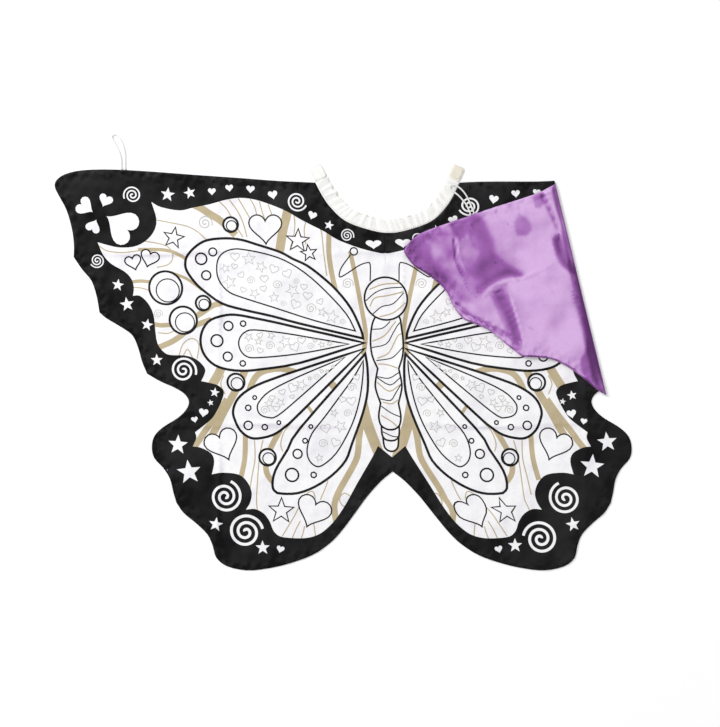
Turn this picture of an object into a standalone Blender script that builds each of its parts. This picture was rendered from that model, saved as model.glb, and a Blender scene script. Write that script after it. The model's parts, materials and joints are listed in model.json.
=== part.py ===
"""Satin butterfly-wing cape, lying flat with its right wing tip folded over.

Metres, +Z up. The cape lies on the plane z = 0 with its span along X and its
neck towards +Y. The origin is the middle of the footprint.

The cut of the cape is drawn as a half pattern in millimetres: x is the distance
out from the centre crease, y the height above the lowest point of the hem. Both
halves are laid from it, the left one mirrored.
"""

import bmesh
import bpy
from mathutils import Vector

MM = 0.001

# How the cape lies: the centre crease runs at a slight slant.
CENTRE_X = 79.9  # centre crease from the origin, at y = 0
CENTRE_Y = 384.7  # hem to origin
LAY_SKEW = 0.034  # sideways drift of the centre crease for each unit of height

# Cloth layers, from the surface that the cape lies on upwards.
PANEL = 1.0
GAP = 0.3
STACK = 2 * PANEL + GAP
FOLD_Z = STACK + 0.5  # axis of both tip folds, just above the stack
CUT_GAP = 0.4  # between panels that meet at a fold

# Hem of the half pattern, from the shoulder round the tip to the bottom notch.
# Each run is smooth, and the cut turns a corner where two runs meet.
HEM_RUNS = (
    ((184, 687), (250, 692), (321, 697), (400, 703), (470, 707), (526, 706), (558, 699),
     (574, 688), (577, 676), (570, 660), (558, 636), (550, 605), (547, 577), (548, 553)),
    ((548, 553), (533, 530), (518, 511), (510, 484), (506, 456)),
    ((506, 456), (495, 446), (472, 432), (450, 416), (440, 393), (434, 369), (426, 348)),
    ((426, 348), (402, 334), (377, 323), (360, 311), (354, 298), (360, 284), (375, 270),
     (401, 254), (417, 238), (422, 218), (418, 199), (403, 182), (392, 163), (387, 140),
     (382, 121)),
    ((382, 121), (370, 103), (350, 86), (330, 66), (321, 46), (315, 24), (296, 9), (262, 2),
     (228, 5), (191, 13), (148, 28), (118, 47), (96, 68), (69, 102), (47, 131), (22, 158)),
)
BOTTOM_NOTCH = (0, 176)

# Neckline, from its lowest point out to the shoulder. It lies off the centre crease.
NECK_SHIFT = 8
CREASE_CLEAR = 8  # the neckline has no point closer to the crease, so no section crosses it
NECK_HALF = ((0, 595), (39, 602), (77, 617), (102, 641), (116, 662), (127, 684))

# Fold of the wing tip, from the top edge down to the waist.
TIP_FOLD_TOP = (301, 692)
TIP_FOLD_BOTTOM = (380, 312)

# The right tip as it lies folded over, from the top of the fold round to its foot. Satin
# gives on the bias, so its cut isn't quite the left tip's mirror image.
FOLDED_TIP_RUNS = (
    ((301, 690), (262, 669), (166, 631), (98, 608), (64, 595), (45, 581), (34, 567),
     (35, 558), (49, 538), (72, 523), (94, 505), (107, 489), (115, 469)),
    ((115, 469), (131, 446), (150, 437), (177, 425), (203, 403), (229, 382)),
    ((229, 382), (237, 378), (271, 376), (290, 372), (312, 361), (336, 344), (364, 320),
     (380, 310)),
)

# Gathered neck casing with the elastic inside.
CASING_WIDTH = 24.0
CASING_HEIGHT = 4.4
CASING_WALL = 0.8
CASING_CHAMFER = 1.2
ELASTIC_WIDTH = 18.0
ELASTIC_HEIGHT = 2.0
ELASTIC_CHAMFER = 0.4
THREAD_WIDTH = 0.8
THREAD_HEIGHT = 0.4
THREAD_CHAMFER = 0.1
NECK_THREAD_INSET = 2.5
NECK_THREAD_SHORT = 3.0  # the stitches end this far before the tab
WING_FOLD_Z = 5.6  # above the casing and its stitching, so both halves can close

# Neck tabs with their hook-and-loop patches.
TAB_LENGTH = 27.0
TAB_WIDTH = 23.0
TAB_HEIGHT = 2.0
PATCH_START = 4.0  # from the casing's end
PATCH_LENGTH = 21.0
PATCH_WIDTH = 18.0
PATCH_HEIGHT = 1.0
TAB_THREAD_CLEAR = 0.4  # the stitches run round the patch, this far outside it
TAB_FOLD_Z = 4.8

# Elastic finger loops: the cord's centre line, along the edge and out from it.
CORD_RADIUS = 1.4
LOOP_AT = 156  # from the top of the tip's fold, along the edge
LOOP_START = 0.8  # from the edge to the cord's ends
LOOP_HINGE = 2.2  # from the edge to the loop's hinge
LOOP_ROUTE = ((3.2, 0), (4.8, 20), (10.9, 37), (18.8, 50), (22.6, 57), (17.6, 62),
              (10.0, 57), (3.0, 46), (-1.4, 31), (-2.6, 14), (-3.2, 0))
LOOP_LIES_Z = CORD_RADIUS + 0.05
LOOP_OVER_CASING_Z = 6.9
LOOP_OVER_PANEL_Z = 4.1
LOOP_SINK = 12.0  # distance out over which the right loop comes down to the panel
LOOP_CLIMB = (30.0, 44.0)  # distance out where the right loop climbs onto the casing


def clear_scene():
    for obj in list(bpy.data.objects):
        bpy.data.objects.remove(obj, do_unlink=True)


def material(name, colour, roughness):
    mat = bpy.data.materials.new(name)
    mat.use_nodes = True
    shader = mat.node_tree.nodes["Principled BSDF"]
    shader.inputs["Base Color"].default_value = (*colour, 1.0)
    shader.inputs["Roughness"].default_value = roughness
    shader.inputs["Metallic"].default_value = 0.0
    mat.diffuse_color = (*colour, 1.0)
    return mat


def new_object(name, data, parent, mat):
    """Add an object whose data is in world coordinates, and hang it on its parent."""
    obj = bpy.data.objects.new(name, data)
    bpy.context.collection.objects.link(obj)
    data.materials.append(mat)
    data.transform(parent.matrix_world.inverted())
    obj.parent = parent
    return obj


def pivot(name, place, parent=None):
    """An empty on a joint axis, at a place in the world."""
    empty = bpy.data.objects.new(name, None)
    bpy.context.collection.objects.link(empty)
    empty.empty_display_size = 0.02
    empty.parent = parent
    empty.location = place if parent is None else place - parent.matrix_world.translation
    bpy.context.view_layer.update()
    return empty


def smooth(points, steps):
    """Points on a Catmull-Rom curve through the given ones, both ends included."""
    knots = [Vector(p) for p in points]
    knots = [2 * knots[0] - knots[1], *knots, 2 * knots[-1] - knots[-2]]
    curve = []
    for a, b, c, d in zip(knots, knots[1:], knots[2:], knots[3:]):
        for step in range(steps):
            t = step / steps
            curve.append(
                0.5 * (2 * b + (c - a) * t + (2 * a - 5 * b + 4 * c - d) * t * t
                       + (3 * b - a - 3 * c + d) * t ** 3)
            )
    curve.append(knots[-2])
    return curve


def laid(point, z=0.0):
    """A pattern point, in millimetres, where it lies in the world, in metres."""
    y = point[1] - CENTRE_Y
    return Vector((point[0] + CENTRE_X - LAY_SKEW * y, y, z)) * MM


def neckline():
    """The whole neckline in pattern millimetres, from the left shoulder to the right."""
    right = [(x + NECK_SHIFT, y) for x, y in NECK_HALF]
    left = [(NECK_SHIFT - x, y) for x, y in NECK_HALF[:0:-1]]
    return smooth(left + right, 4)


def half_neckline(side, start):
    """One side's neckline, from start millimetres beside the crease to the shoulder."""
    line = neckline()
    if side < 0:
        line.reverse()
    before, after = next(
        (a, b) for a, b in zip(line, line[1:]) if side * a.x < start <= side * b.x
    )
    first = before.lerp(after, (side * start - before.x) / (after.x - before.x))
    return [first] + [p for p in line if side * p.x > start + CREASE_CLEAR]


def half_outline(side):
    """One wing's cut as a ring of pattern points, from the crease round to the crease."""
    ring = half_neckline(side, CUT_GAP / 2)
    shoulder = ring[-1]
    for run in HEM_RUNS:
        points = [Vector((side * x, y)) for x, y in run]
        if run is HEM_RUNS[0]:
            points.insert(0, shoulder)
        if run is HEM_RUNS[-1]:
            points.append(Vector((side * CUT_GAP / 2, BOTTOM_NOTCH[1])))
        ring += smooth(points, 3)[1:]
    return ring


def split_at_fold(ring, side):
    """The wing's inner part and its tip, cut along the tip fold."""
    top = Vector((side * TIP_FOLD_TOP[0], TIP_FOLD_TOP[1]))
    bottom = Vector((side * TIP_FOLD_BOTTOM[0], TIP_FOLD_BOTTOM[1]))
    along = (bottom - top).normalized()
    outward = side * Vector((-along.y, along.x))

    def crossings(offset):
        beyond = [(p - top).dot(outward) - offset for p in ring]
        found = []
        for i in range(len(ring) - 1):
            if beyond[i] * beyond[i + 1] < 0:
                share = beyond[i] / (beyond[i] - beyond[i + 1])
                found.append((i, ring[i].lerp(ring[i + 1], share)))
        return found[:2]

    (i, enter), (j, leave) = crossings(-CUT_GAP / 2)
    inner = ring[: i + 1] + [enter, leave] + ring[j + 1 :]
    (i, enter), (j, leave) = crossings(CUT_GAP / 2)
    tip = [enter] + ring[i + 1 : j + 1] + [leave]
    return inner, tip


def folded_tip():
    """The right tip's ring of pattern points, as it lies over the wing."""
    ring = [Vector(FOLDED_TIP_RUNS[0][0])]
    for run in FOLDED_TIP_RUNS:
        ring += smooth(run, 3)[1:]
    clear = Vector((-CUT_GAP / 2, 0))
    ring[0] += clear
    ring[-1] += clear
    return ring


def slab(name, ring, z_low, thickness, parent, mat):
    """A flat layer of cloth with the given outline."""
    low = [laid(p, z_low) for p in ring]
    rise = Vector((0, 0, thickness * MM))
    bm = bmesh.new()
    face = bm.faces.new([bm.verts.new(p) for p in low])
    top = bmesh.ops.extrude_face_region(bm, geom=[face])["geom"]
    bmesh.ops.translate(bm, vec=rise, verts=[v for v in top if isinstance(v, bmesh.types.BMVert)])
    bmesh.ops.recalc_face_normals(bm, faces=bm.faces)
    mesh = bpy.data.meshes.new(name)
    bm.to_mesh(mesh)
    bm.free()
    return new_object(name, mesh, parent, mat)


def panels(name, ring, parent, mats, folded=False):
    """The printed front and the plain back of one stretch of the wings.

    Folded over, the front faces down and the back lies on top.
    """
    back = 0.0
    front = PANEL + GAP
    if folded:
        back = 2 * FOLD_Z - back - PANEL
        front = 2 * FOLD_Z - front - PANEL
    slab("back_panel_" + name, ring, back, PANEL, parent, mats["back"])
    slab("front_panel_" + name, ring, front, PANEL, parent, mats["front"])


def rail(side, inset, start, end_back=0.0):
    """Stations along the casing: a point inset from the neckline, and the way across.

    The first one is square to the crease, so that the two halves meet there.
    """
    line = [laid(p) for p in half_neckline(side, start)]
    stations = []
    for i, place in enumerate(line):
        ahead = line[min(i + 1, len(line) - 1)] - line[max(i - 1, 0)]
        across = side * Vector((-ahead.y, ahead.x, 0)).normalized()
        if i == 0:
            across = (laid((0, 1)) - laid((0, 0))).normalized()
        if i == len(line) - 1:
            place = place - ahead.normalized() * end_back * MM
        stations.append((place + across * inset * MM, across))
    return stations


def ring_at(station, width, height, z_mid, chamfer):
    """An eight-sided section across the casing, at one station."""
    place, across = station
    w = width / 2
    h = height / 2
    c = chamfer
    shape = ((-w, c - h), (c - w, -h), (w - c, -h), (w, c - h),
             (w, h - c), (w - c, h), (c - w, h), (-w, h - c))
    up = Vector((0, 0, 1))
    return [place + (across * a + up * (b + z_mid)) * MM for a, b in shape]


def skin(bm, rings):
    """Walls between one ring of points and the next; returns the rings' vertices."""
    made = [[bm.verts.new(p) for p in ring] for ring in rings]
    for one, two in zip(made, made[1:]):
        for k in range(len(one)):
            n = (k + 1) % len(one)
            bm.faces.new((one[k], one[n], two[n], two[k]))
    return made


def swept(name, stations, width, height, z_mid, chamfer, parent, mat, wall=0.0):
    """A strip along the casing: solid, or a tube open at both ends if it has a wall."""
    bm = bmesh.new()
    outer = skin(bm, [ring_at(s, width, height, z_mid, chamfer) for s in stations])
    if wall:
        hollow = (width - 2 * wall, height - 2 * wall, z_mid, chamfer - wall / 2)
        inner = skin(bm, [ring_at(s, *hollow) for s in stations])
        for end in (0, -1):
            count = len(outer[end])
            for k in range(count):
                n = (k + 1) % count
                bm.faces.new((outer[end][k], outer[end][n], inner[end][n], inner[end][k]))
    else:
        bm.faces.new(outer[0])
        bm.faces.new(outer[-1])
    bmesh.ops.recalc_face_normals(bm, faces=bm.faces)
    mesh = bpy.data.meshes.new(name)
    bm.to_mesh(mesh)
    bm.free()
    return new_object(name, mesh, parent, mat)


def neck_casing(side, name, parent, mats):
    """Half of the gathered casing with its elastic and its line of stitches."""
    middle = GAP + CASING_WIDTH / 2
    swept("neck_casing_" + name, rail(side, middle, CUT_GAP / 2), CASING_WIDTH, CASING_HEIGHT,
          CASING_HEIGHT / 2, CASING_CHAMFER, parent, mats["casing"], CASING_WALL)
    swept("neck_elastic_" + name, rail(side, middle, CUT_GAP / 2), ELASTIC_WIDTH,
          ELASTIC_HEIGHT, CASING_HEIGHT / 2, ELASTIC_CHAMFER, parent, mats["elastic"])
    stitch_rail = rail(side, GAP + NECK_THREAD_INSET, CUT_GAP / 2, NECK_THREAD_SHORT)
    swept("neck_stitching_" + name, stitch_rail, THREAD_WIDTH, THREAD_HEIGHT,
          CASING_HEIGHT + GAP + THREAD_HEIGHT / 2, THREAD_CHAMFER, parent, mats["thread"])


def tab_frame(side):
    """Where the neck tab starts, the way it points and the way across it."""
    start, across = rail(side, GAP + CASING_WIDTH / 2, CUT_GAP / 2)[-1]
    out = side * Vector((across.y, -across.x, 0))
    return start, out, across


def plate(name, side, along, width, z_low, height, parent, mat, hole=0.0):
    """A rectangular piece of the tab, from along[0] to along[1] beyond the casing."""
    start, out, across = tab_frame(side)
    bm = bmesh.new()

    def ring(inset, z):
        ends = (along[0] + inset, along[1] - inset)
        half = width / 2 - inset
        corners = ((ends[0], -half), (ends[1], -half), (ends[1], half), (ends[0], half))
        return [bm.verts.new(start + (out * a + across * b) * MM + Vector((0, 0, z * MM)))
                for a, b in corners]

    def walls(one, two):
        for k in range(4):
            n = (k + 1) % 4
            bm.faces.new((one[k], one[n], two[n], two[k]))

    low = ring(0, z_low)
    high = ring(0, z_low + height)
    walls(low, high)
    if hole:
        low_in = ring(hole, z_low)
        high_in = ring(hole, z_low + height)
        walls(low_in, high_in)
        walls(low, low_in)
        walls(high, high_in)
    else:
        bm.faces.new(low)
        bm.faces.new(high)
    bmesh.ops.recalc_face_normals(bm, faces=bm.faces)
    mesh = bpy.data.meshes.new(name)
    bm.to_mesh(mesh)
    bm.free()
    return new_object(name, mesh, parent, mat)


def neck_tab(side, name, parent, mats):
    """A tab with its patch: the right one faces up, and the left one faces down."""
    start = tab_frame(side)[0]
    fold = pivot("neck_tab_fold_" + name, start + Vector((0, 0, TAB_FOLD_Z * MM)), parent)
    patch = (PATCH_START, PATCH_START + PATCH_LENGTH)
    tab_low = 0.0
    patch_low = TAB_HEIGHT + GAP
    if side < 0:
        tab_low = PATCH_HEIGHT + GAP
        patch_low = 0.0
    plate("neck_tab_" + name, side, (GAP, TAB_LENGTH), TAB_WIDTH, tab_low, TAB_HEIGHT, fold,
          mats["casing"])
    patch_name = "hook_patch" if side > 0 else "loop_patch"
    plate(patch_name, side, patch, PATCH_WIDTH, patch_low, PATCH_HEIGHT, fold,
          mats[patch_name])
    beyond = TAB_THREAD_CLEAR + THREAD_WIDTH
    plate("tab_stitching_" + name, side, (patch[0] - beyond, patch[1] + beyond),
          PATCH_WIDTH + 2 * beyond, tab_low + TAB_HEIGHT + GAP, THREAD_HEIGHT, fold,
          mats["thread"], THREAD_WIDTH)


def edge_at(ring, distance):
    """The place that far along a tip's top edge, in the world, and the edge's direction."""
    edge = [laid(p) for p in ring]
    for a, b in zip(edge, edge[1:]):
        step = (b - a).length / MM
        if distance < step:
            return a.lerp(b, distance / step), (b - a).normalized()
        distance -= step
    raise ValueError("the edge ends before that distance")


def loop_height(away, folded):
    """Height of a finger loop's centre line, that far from the edge it is sewn into.

    Folded over, the loop comes out level with the tip and climbs onto the casing.
    """
    if not folded:
        return LOOP_LIES_Z
    base = 2 * FOLD_Z - STACK / 2
    sink = min(1.0, away / LOOP_SINK)
    climb = (away - LOOP_CLIMB[0]) / (LOOP_CLIMB[1] - LOOP_CLIMB[0])
    climb = min(1.0, max(0.0, climb))
    low = base + (LOOP_OVER_PANEL_Z - base) * sink
    return low + (LOOP_OVER_CASING_Z - low) * climb * climb * (3 - 2 * climb)


def finger_loop(name, ring, parent, mats, folded=False):
    """A loop of round elastic sewn into the top edge of a wing tip."""
    place, edge = edge_at(ring, LOOP_AT)
    outward = Vector((edge.y, -edge.x, 0))
    up = Vector((0, 0, MM))
    points = []
    for along, away in smooth(LOOP_ROUTE, 2):
        away = max(away, LOOP_START)
        flat = place + (edge * along + outward * away) * MM
        points.append(flat + up * loop_height(away, folded))
    hinge = place + outward * LOOP_HINGE * MM + up * loop_height(0, folded)
    fold = pivot("finger_loop_hinge_" + name, hinge, parent)
    data = bpy.data.curves.new("finger_loop_" + name, "CURVE")
    data.dimensions = "3D"
    data.bevel_depth = CORD_RADIUS * MM
    data.bevel_resolution = 2
    data.use_fill_caps = True
    spline = data.splines.new("POLY")
    spline.points.add(len(points) - 1)
    for knot, centre in zip(spline.points, points):
        knot.co = (*centre, 1.0)
    return new_object("finger_loop_" + name, data, fold, mats["elastic"])


def make_materials():
    return {
        "front": material("printed_satin", (0.86, 0.85, 0.87), 0.38),
        "back": material("purple_satin", (0.36, 0.11, 0.45), 0.35),
        "casing": material("white_cotton", (0.82, 0.81, 0.78), 0.85),
        "elastic": material("white_elastic", (0.80, 0.80, 0.79), 0.75),
        "thread": material("white_thread", (0.75, 0.74, 0.70), 0.7),
        "hook_patch": material("cream_hook_tape", (0.80, 0.74, 0.62), 0.6),
        "loop_patch": material("white_loop_tape", (0.85, 0.84, 0.81), 0.9),
    }


def build():
    clear_scene()
    mats = make_materials()
    right = pivot("right_wing", Vector((0, 0, 0)))
    left = pivot("left_wing_fold", laid((0, CENTRE_Y), WING_FOLD_Z), right)
    for side, name, wing in ((1, "right", right), (-1, "left", left)):
        inner, tip = split_at_fold(half_outline(side), side)
        folded = side > 0
        if folded:
            tip = folded_tip()
        panels(name, inner, wing, mats)
        neck_casing(side, name, wing, mats)
        neck_tab(side, name, wing, mats)
        fold_top = laid((side * TIP_FOLD_TOP[0], TIP_FOLD_TOP[1]), FOLD_Z)
        fold_bottom = laid((side * TIP_FOLD_BOTTOM[0], TIP_FOLD_BOTTOM[1]), FOLD_Z)
        tip_fold = pivot(name + "_tip_fold", (fold_top + fold_bottom) / 2, wing)
        panels(name + "_tip", tip, tip_fold, mats, folded)
        finger_loop(name, tip, tip_fold, mats, folded)


build()
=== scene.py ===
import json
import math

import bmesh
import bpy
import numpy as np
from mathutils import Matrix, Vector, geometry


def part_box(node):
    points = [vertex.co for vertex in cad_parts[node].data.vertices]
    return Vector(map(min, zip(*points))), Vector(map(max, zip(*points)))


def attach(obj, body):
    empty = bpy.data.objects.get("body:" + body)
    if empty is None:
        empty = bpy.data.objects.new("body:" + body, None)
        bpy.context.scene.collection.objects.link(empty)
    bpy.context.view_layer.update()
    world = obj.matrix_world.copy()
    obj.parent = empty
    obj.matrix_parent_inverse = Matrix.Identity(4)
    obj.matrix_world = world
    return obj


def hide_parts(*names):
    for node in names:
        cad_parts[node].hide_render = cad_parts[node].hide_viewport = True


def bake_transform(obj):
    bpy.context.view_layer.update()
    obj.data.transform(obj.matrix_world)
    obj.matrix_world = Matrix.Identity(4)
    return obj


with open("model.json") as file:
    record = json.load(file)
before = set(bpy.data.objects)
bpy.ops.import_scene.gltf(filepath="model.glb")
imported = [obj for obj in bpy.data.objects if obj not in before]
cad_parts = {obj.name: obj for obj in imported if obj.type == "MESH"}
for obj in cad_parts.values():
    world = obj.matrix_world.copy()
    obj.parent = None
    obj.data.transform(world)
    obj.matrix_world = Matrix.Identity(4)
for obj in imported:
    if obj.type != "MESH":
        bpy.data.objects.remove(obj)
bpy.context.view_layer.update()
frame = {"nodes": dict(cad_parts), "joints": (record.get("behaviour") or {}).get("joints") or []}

# Looks of the satin butterfly-wing cape: its printed front, purple back, gathered neck
# casing, tabs and finger loops.
#
# The cloth is drawn as one flat cut, in millimetres, with both wing tips open. The print
# is cut into that flat cut as real areas of ink, and the cut is then laid: raised by its
# wrinkles, closed along the hem, and folded over at the right tip.

MM = 0.001
JOINTS = {joint["name"]: joint for joint in frame["joints"]}

# The pattern: x is the distance out from the centre crease, y the height above the hem.
CREASE = JOINTS["wing_fold"]
CENTRE_X = CREASE["pos_m"][0] / MM
CENTRE_Y = 384.7  # hem to origin, as in the model
LAY_SKEW = -CREASE["axis"][0] / CREASE["axis"][1]

# How high the cloth lies.
BACK_Z = 0.5
FRONT_Z = 1.7
HEM_Z = 1.1
HEM_GAP = 0.08  # between the two layers' edges, so neither shows through the other
HEM_ROUND = 3.0  # width over which the two layers close at the hem
LOW_LIMIT = 3.7  # no unfolded cloth lies higher, so the folded tip stays clear above it
TIP_FRONT_Z = 5.5
TIP_BACK_Z = 6.6
TIP_HEM_Z = 5.5
FOLD_BLEND = (3.8, 5.1)  # heights: the right tip's folded layers lie above the upper one
TIP_CLEAR = 0.1  # the tip's printed layer lies at least this far above the upper of those heights
LAYER_GAP = 0.6  # least gap from the tip's printed layer up to its purple one

TIP_ROLL = (3.0, 9.0)  # half the width of the fold's roll, at its top and at its foot
LEAST_ROLL = 1.2
FRONT_INSET = 0.8  # the printed layer turns this far inside the purple one
TOP_SINK = 8.5  # how far the right wing's top edge sinks where it meets the fold

GRID = 6.0  # spacing of the cloth's points
FINE_GRID = 3.6  # spacing on the folded purple tip
CUT_AT = 150.0  # each layer is made in three pieces, cut this far from the crease
CUT_ENDS = (-20, 760)  # pattern heights between which the cuts run
CLEAR_OF_FOLD = 14  # the cloth's own grid keeps this far from the right tip's fold
FOLD_ROWS = (0.5, 1.2, 2.2, 3.5, 5, 7, 10, 13)  # rows of points on each side of that fold
HEM_ROWS = (0.5, 1.6, HEM_ROUND)  # rows of points inside the free edge


def laid(points):
    """Pattern points where they lie in the flat cut, in millimetres of the row frame."""
    points = np.atleast_2d(np.array(points, float))
    lift = points[:, 1] - CENTRE_Y
    return np.column_stack((points[:, 0] + CENTRE_X - LAY_SKEW * lift, lift))


def pattern_x(flat):
    return flat[:, 0] - CENTRE_X + LAY_SKEW * flat[:, 1]


# ---------------------------------------------------------------- curves and shapes


def ease(t):
    t = np.clip(t, 0, 1)
    return t * t * (3 - 2 * t)


def smooth(points, steps=3):
    """Points on a Catmull-Rom curve through the given ones, both ends included."""
    knots = np.array(points, float)
    knots = np.vstack((2 * knots[0] - knots[1], knots, 2 * knots[-1] - knots[-2]))
    curve = []
    for a, b, c, d in zip(knots, knots[1:], knots[2:], knots[3:]):
        for t in np.arange(steps) / steps:
            curve.append(
                0.5 * (2 * b + (c - a) * t + (2 * a - 5 * b + 4 * c - d) * t * t
                       + (3 * b - a - 3 * c + d) * t ** 3)
            )
    curve.append(knots[-2])
    return np.array(curve)


def signed_area(ring):
    x, y = ring[:, 0], ring[:, 1]
    return 0.5 * float(np.sum(x * np.roll(y, -1) - y * np.roll(x, -1)))


def offset(line, distance, closed):
    """The line moved sideways to its left, with its corners mitred."""
    line = np.array(line, float)
    if closed:
        before = line - np.roll(line, 1, axis=0)
        after = np.roll(line, -1, axis=0) - line
    else:
        steps = np.diff(line, axis=0)
        before = np.vstack((steps[:1], steps))
        after = np.vstack((steps, steps[-1:]))
    before /= np.linalg.norm(before, axis=1)[:, None] + 1e-9
    after /= np.linalg.norm(after, axis=1)[:, None] + 1e-9
    normal = np.column_stack((-before[:, 1] - after[:, 1], before[:, 0] + after[:, 0]))
    length = np.linalg.norm(normal, axis=1)[:, None] + 1e-9
    mitre = np.minimum(2 / length, 2.2)
    return line + normal / length * mitre * distance


def turned(points, x, y, degrees=0.0):
    """A shape drawn round the origin, turned and moved to its place."""
    c, s = math.cos(math.radians(degrees)), math.sin(math.radians(degrees))
    points = np.array(points, float)
    return points @ np.array(((c, s), (-s, c))) + (x, y)


def heart(x, y, width, points_to=-90):
    """A heart as wide as given, whose point looks that way."""
    t = np.linspace(0, 2 * math.pi, 2 * int(8 + width / 7), endpoint=False)
    across = 16 * np.sin(t) ** 3
    up = 13 * np.cos(t) - 5 * np.cos(2 * t) - 2 * np.cos(3 * t) - np.cos(4 * t)
    shape = np.column_stack((across, up + 2)) * width / 32
    return turned(np.roll(shape[::-1], len(t) // 4, axis=0), x, y, points_to + 90)


def spaced(ring, gap):
    """The ring without points that crowd the one before."""
    kept = [ring[0]]
    for place in ring[1:]:
        if np.linalg.norm(place - kept[-1]) > gap:
            kept.append(place)
    if np.linalg.norm(kept[-1] - kept[0]) < gap:
        kept.pop()
    return np.array(kept)


def star(x, y, radius, turn=0, inner=0.42):
    """A five-pointed star."""
    angles = np.radians(90 + 36 * np.arange(10))
    reach = np.where(np.arange(10) % 2 == 0, radius, radius * inner)
    return turned(np.column_stack((reach * np.cos(angles), reach * np.sin(angles))), x, y, turn)


def disc(x, y, radius, count=None):
    count = count or int(10 + radius)
    t = np.linspace(0, 2 * math.pi, count, endpoint=False)
    return np.column_stack((x + radius * np.cos(t), y + radius * np.sin(t)))


def stroke(line, width):
    """A drawn line as a closed ring."""
    left = offset(line, width / 2, False)
    right = offset(line, -width / 2, False)
    return np.vstack((right, left[::-1]))


def spiral(x, y, radius, turn=200, way=1, turns=2.8, width=0.15):
    """A drawn spiral as a closed ring. Its outer end lies at the turn given."""
    count = int(12 + radius) * 2
    t = np.linspace(0.14, 1, count)
    angle = math.radians(turn) - way * 2 * math.pi * turns * (1 - t)
    reach = radius * (t - width / 2)
    line = np.column_stack((x + reach * np.cos(angle), y + reach * np.sin(angle)))
    ring = stroke(line, radius * width)
    return np.roll(ring, len(ring) // 2, axis=0)


# ---------------------------------------------------------------- the print
# A shape is its ink, its ring in pattern millimetres, whether it shows only inside the
# white window, and whether both wings have it. Later shapes cover earlier ones.

BLACK, WHITE, TAN, GREY = range(4)
SHAPES = []

# Widths of the drawn lines.
CELL_LINE = 4.5
INNER_CELL_LINE = 2.6
DOUBLE_CIRCLE_LINE = 3.9
INNER_CIRCLE_LINE = 2.1
HEART_LINE = 2.5
STAR_LINE = 2.3
FAINT_LINE = 1.3
TAN_LINE = 2.0
BODY_OUTLINE = 3.3
BODY_LINE = 1.9
BODY_BAND = 2.2
ANTENNA_LINE = 2.2
ANTENNA_BALL_LINE = 2.4

WINDOW_RUNS = (
    ((0, 560), (9, 560), (42, 568), (82, 583), (106, 598), (143, 617), (170, 633), (198, 645),
     (226, 654), (252, 657), (279, 653), (305, 646), (335, 640), (359, 635), (392, 641),
     (408, 650)),
    ((408, 650), (400, 619), (406, 597), (422, 580), (443, 571), (468, 570), (487, 574),
     (505, 579)),
    ((505, 579), (496, 557), (482, 541), (460, 528), (448, 515), (444, 499), (446, 485)),
    ((446, 485), (434, 485), (420, 472), (411, 452), (409, 426), (406, 402), (397, 388),
     (385, 381), (358, 380), (338, 373), (324, 358), (325, 347), (331, 335)),
    ((331, 335), (317, 332), (301, 327), (292, 316), (297, 299), (308, 278), (319, 265),
     (345, 245)),
    ((345, 245), (343, 235), (350, 220)),
    ((350, 220), (336, 218), (318, 208), (313, 193), (318, 171)),
    ((318, 171), (300, 174), (272, 171), (257, 159), (249, 140), (252, 122), (260, 109)),
    ((260, 109), (244, 110), (229, 102), (219, 88), (213, 72), (202, 62), (181, 59),
     (157, 59), (137, 64), (121, 74), (103, 92), (84, 119), (63, 155), (35, 201), (24, 221)),
    ((24, 221), (0, 201)),
)

# Wing cells: the outer line and the inner one, each from its point by the body.
CELLS = (
    (((44, 410), (47, 425), (63, 462), (87, 494), (111, 517), (138, 538), (163, 550),
      (185, 562), (225, 575), (251, 583), (278, 586), (311, 583), (331, 573), (347, 557),
      (352, 544), (350, 529), (336, 508), (319, 492), (291, 472), (255, 461), (202, 449),
      (154, 436)),
     ((57, 423), (72, 453), (107, 493), (142, 525), (177, 547), (212, 559), (248, 566),
      (266, 567), (284, 561), (295, 547), (297, 525), (291, 507), (276, 491), (251, 481),
      (198, 464), (127, 441))),
    (((42, 402), (100, 416), (154, 428), (192, 437), (235, 446), (262, 451), (283, 451),
      (310, 443), (324, 428), (330, 407), (326, 385), (312, 367), (291, 357), (259, 353),
      (223, 356), (156, 367)),
     ((69, 400), (128, 410), (181, 419), (235, 425), (251, 421), (260, 412), (263, 400),
      (259, 387), (249, 378), (233, 376), (182, 380), (128, 388))),
    (((42, 392), (157, 355), (196, 342), (233, 328), (257, 314), (271, 299), (277, 281),
      (274, 266), (266, 249), (252, 237), (236, 234), (209, 240), (187, 254), (159, 279)),
     ((77, 377), (157, 344), (210, 318), (230, 299), (234, 287), (229, 276), (215, 271),
      (199, 274), (158, 307))),
    (((41, 383), (160, 252), (183, 215), (206, 178), (212, 152), (207, 140), (195, 137),
      (168, 138), (138, 149), (107, 169), (82, 195), (70, 224), (49, 278), (39, 318),
      (38, 358)),
     ((45, 371), (64, 340), (89, 307), (116, 272), (140, 242), (149, 215), (146, 196),
      (134, 185), (121, 188), (99, 207), (79, 238), (63, 272), (52, 310), (46, 349))),
)

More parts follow.
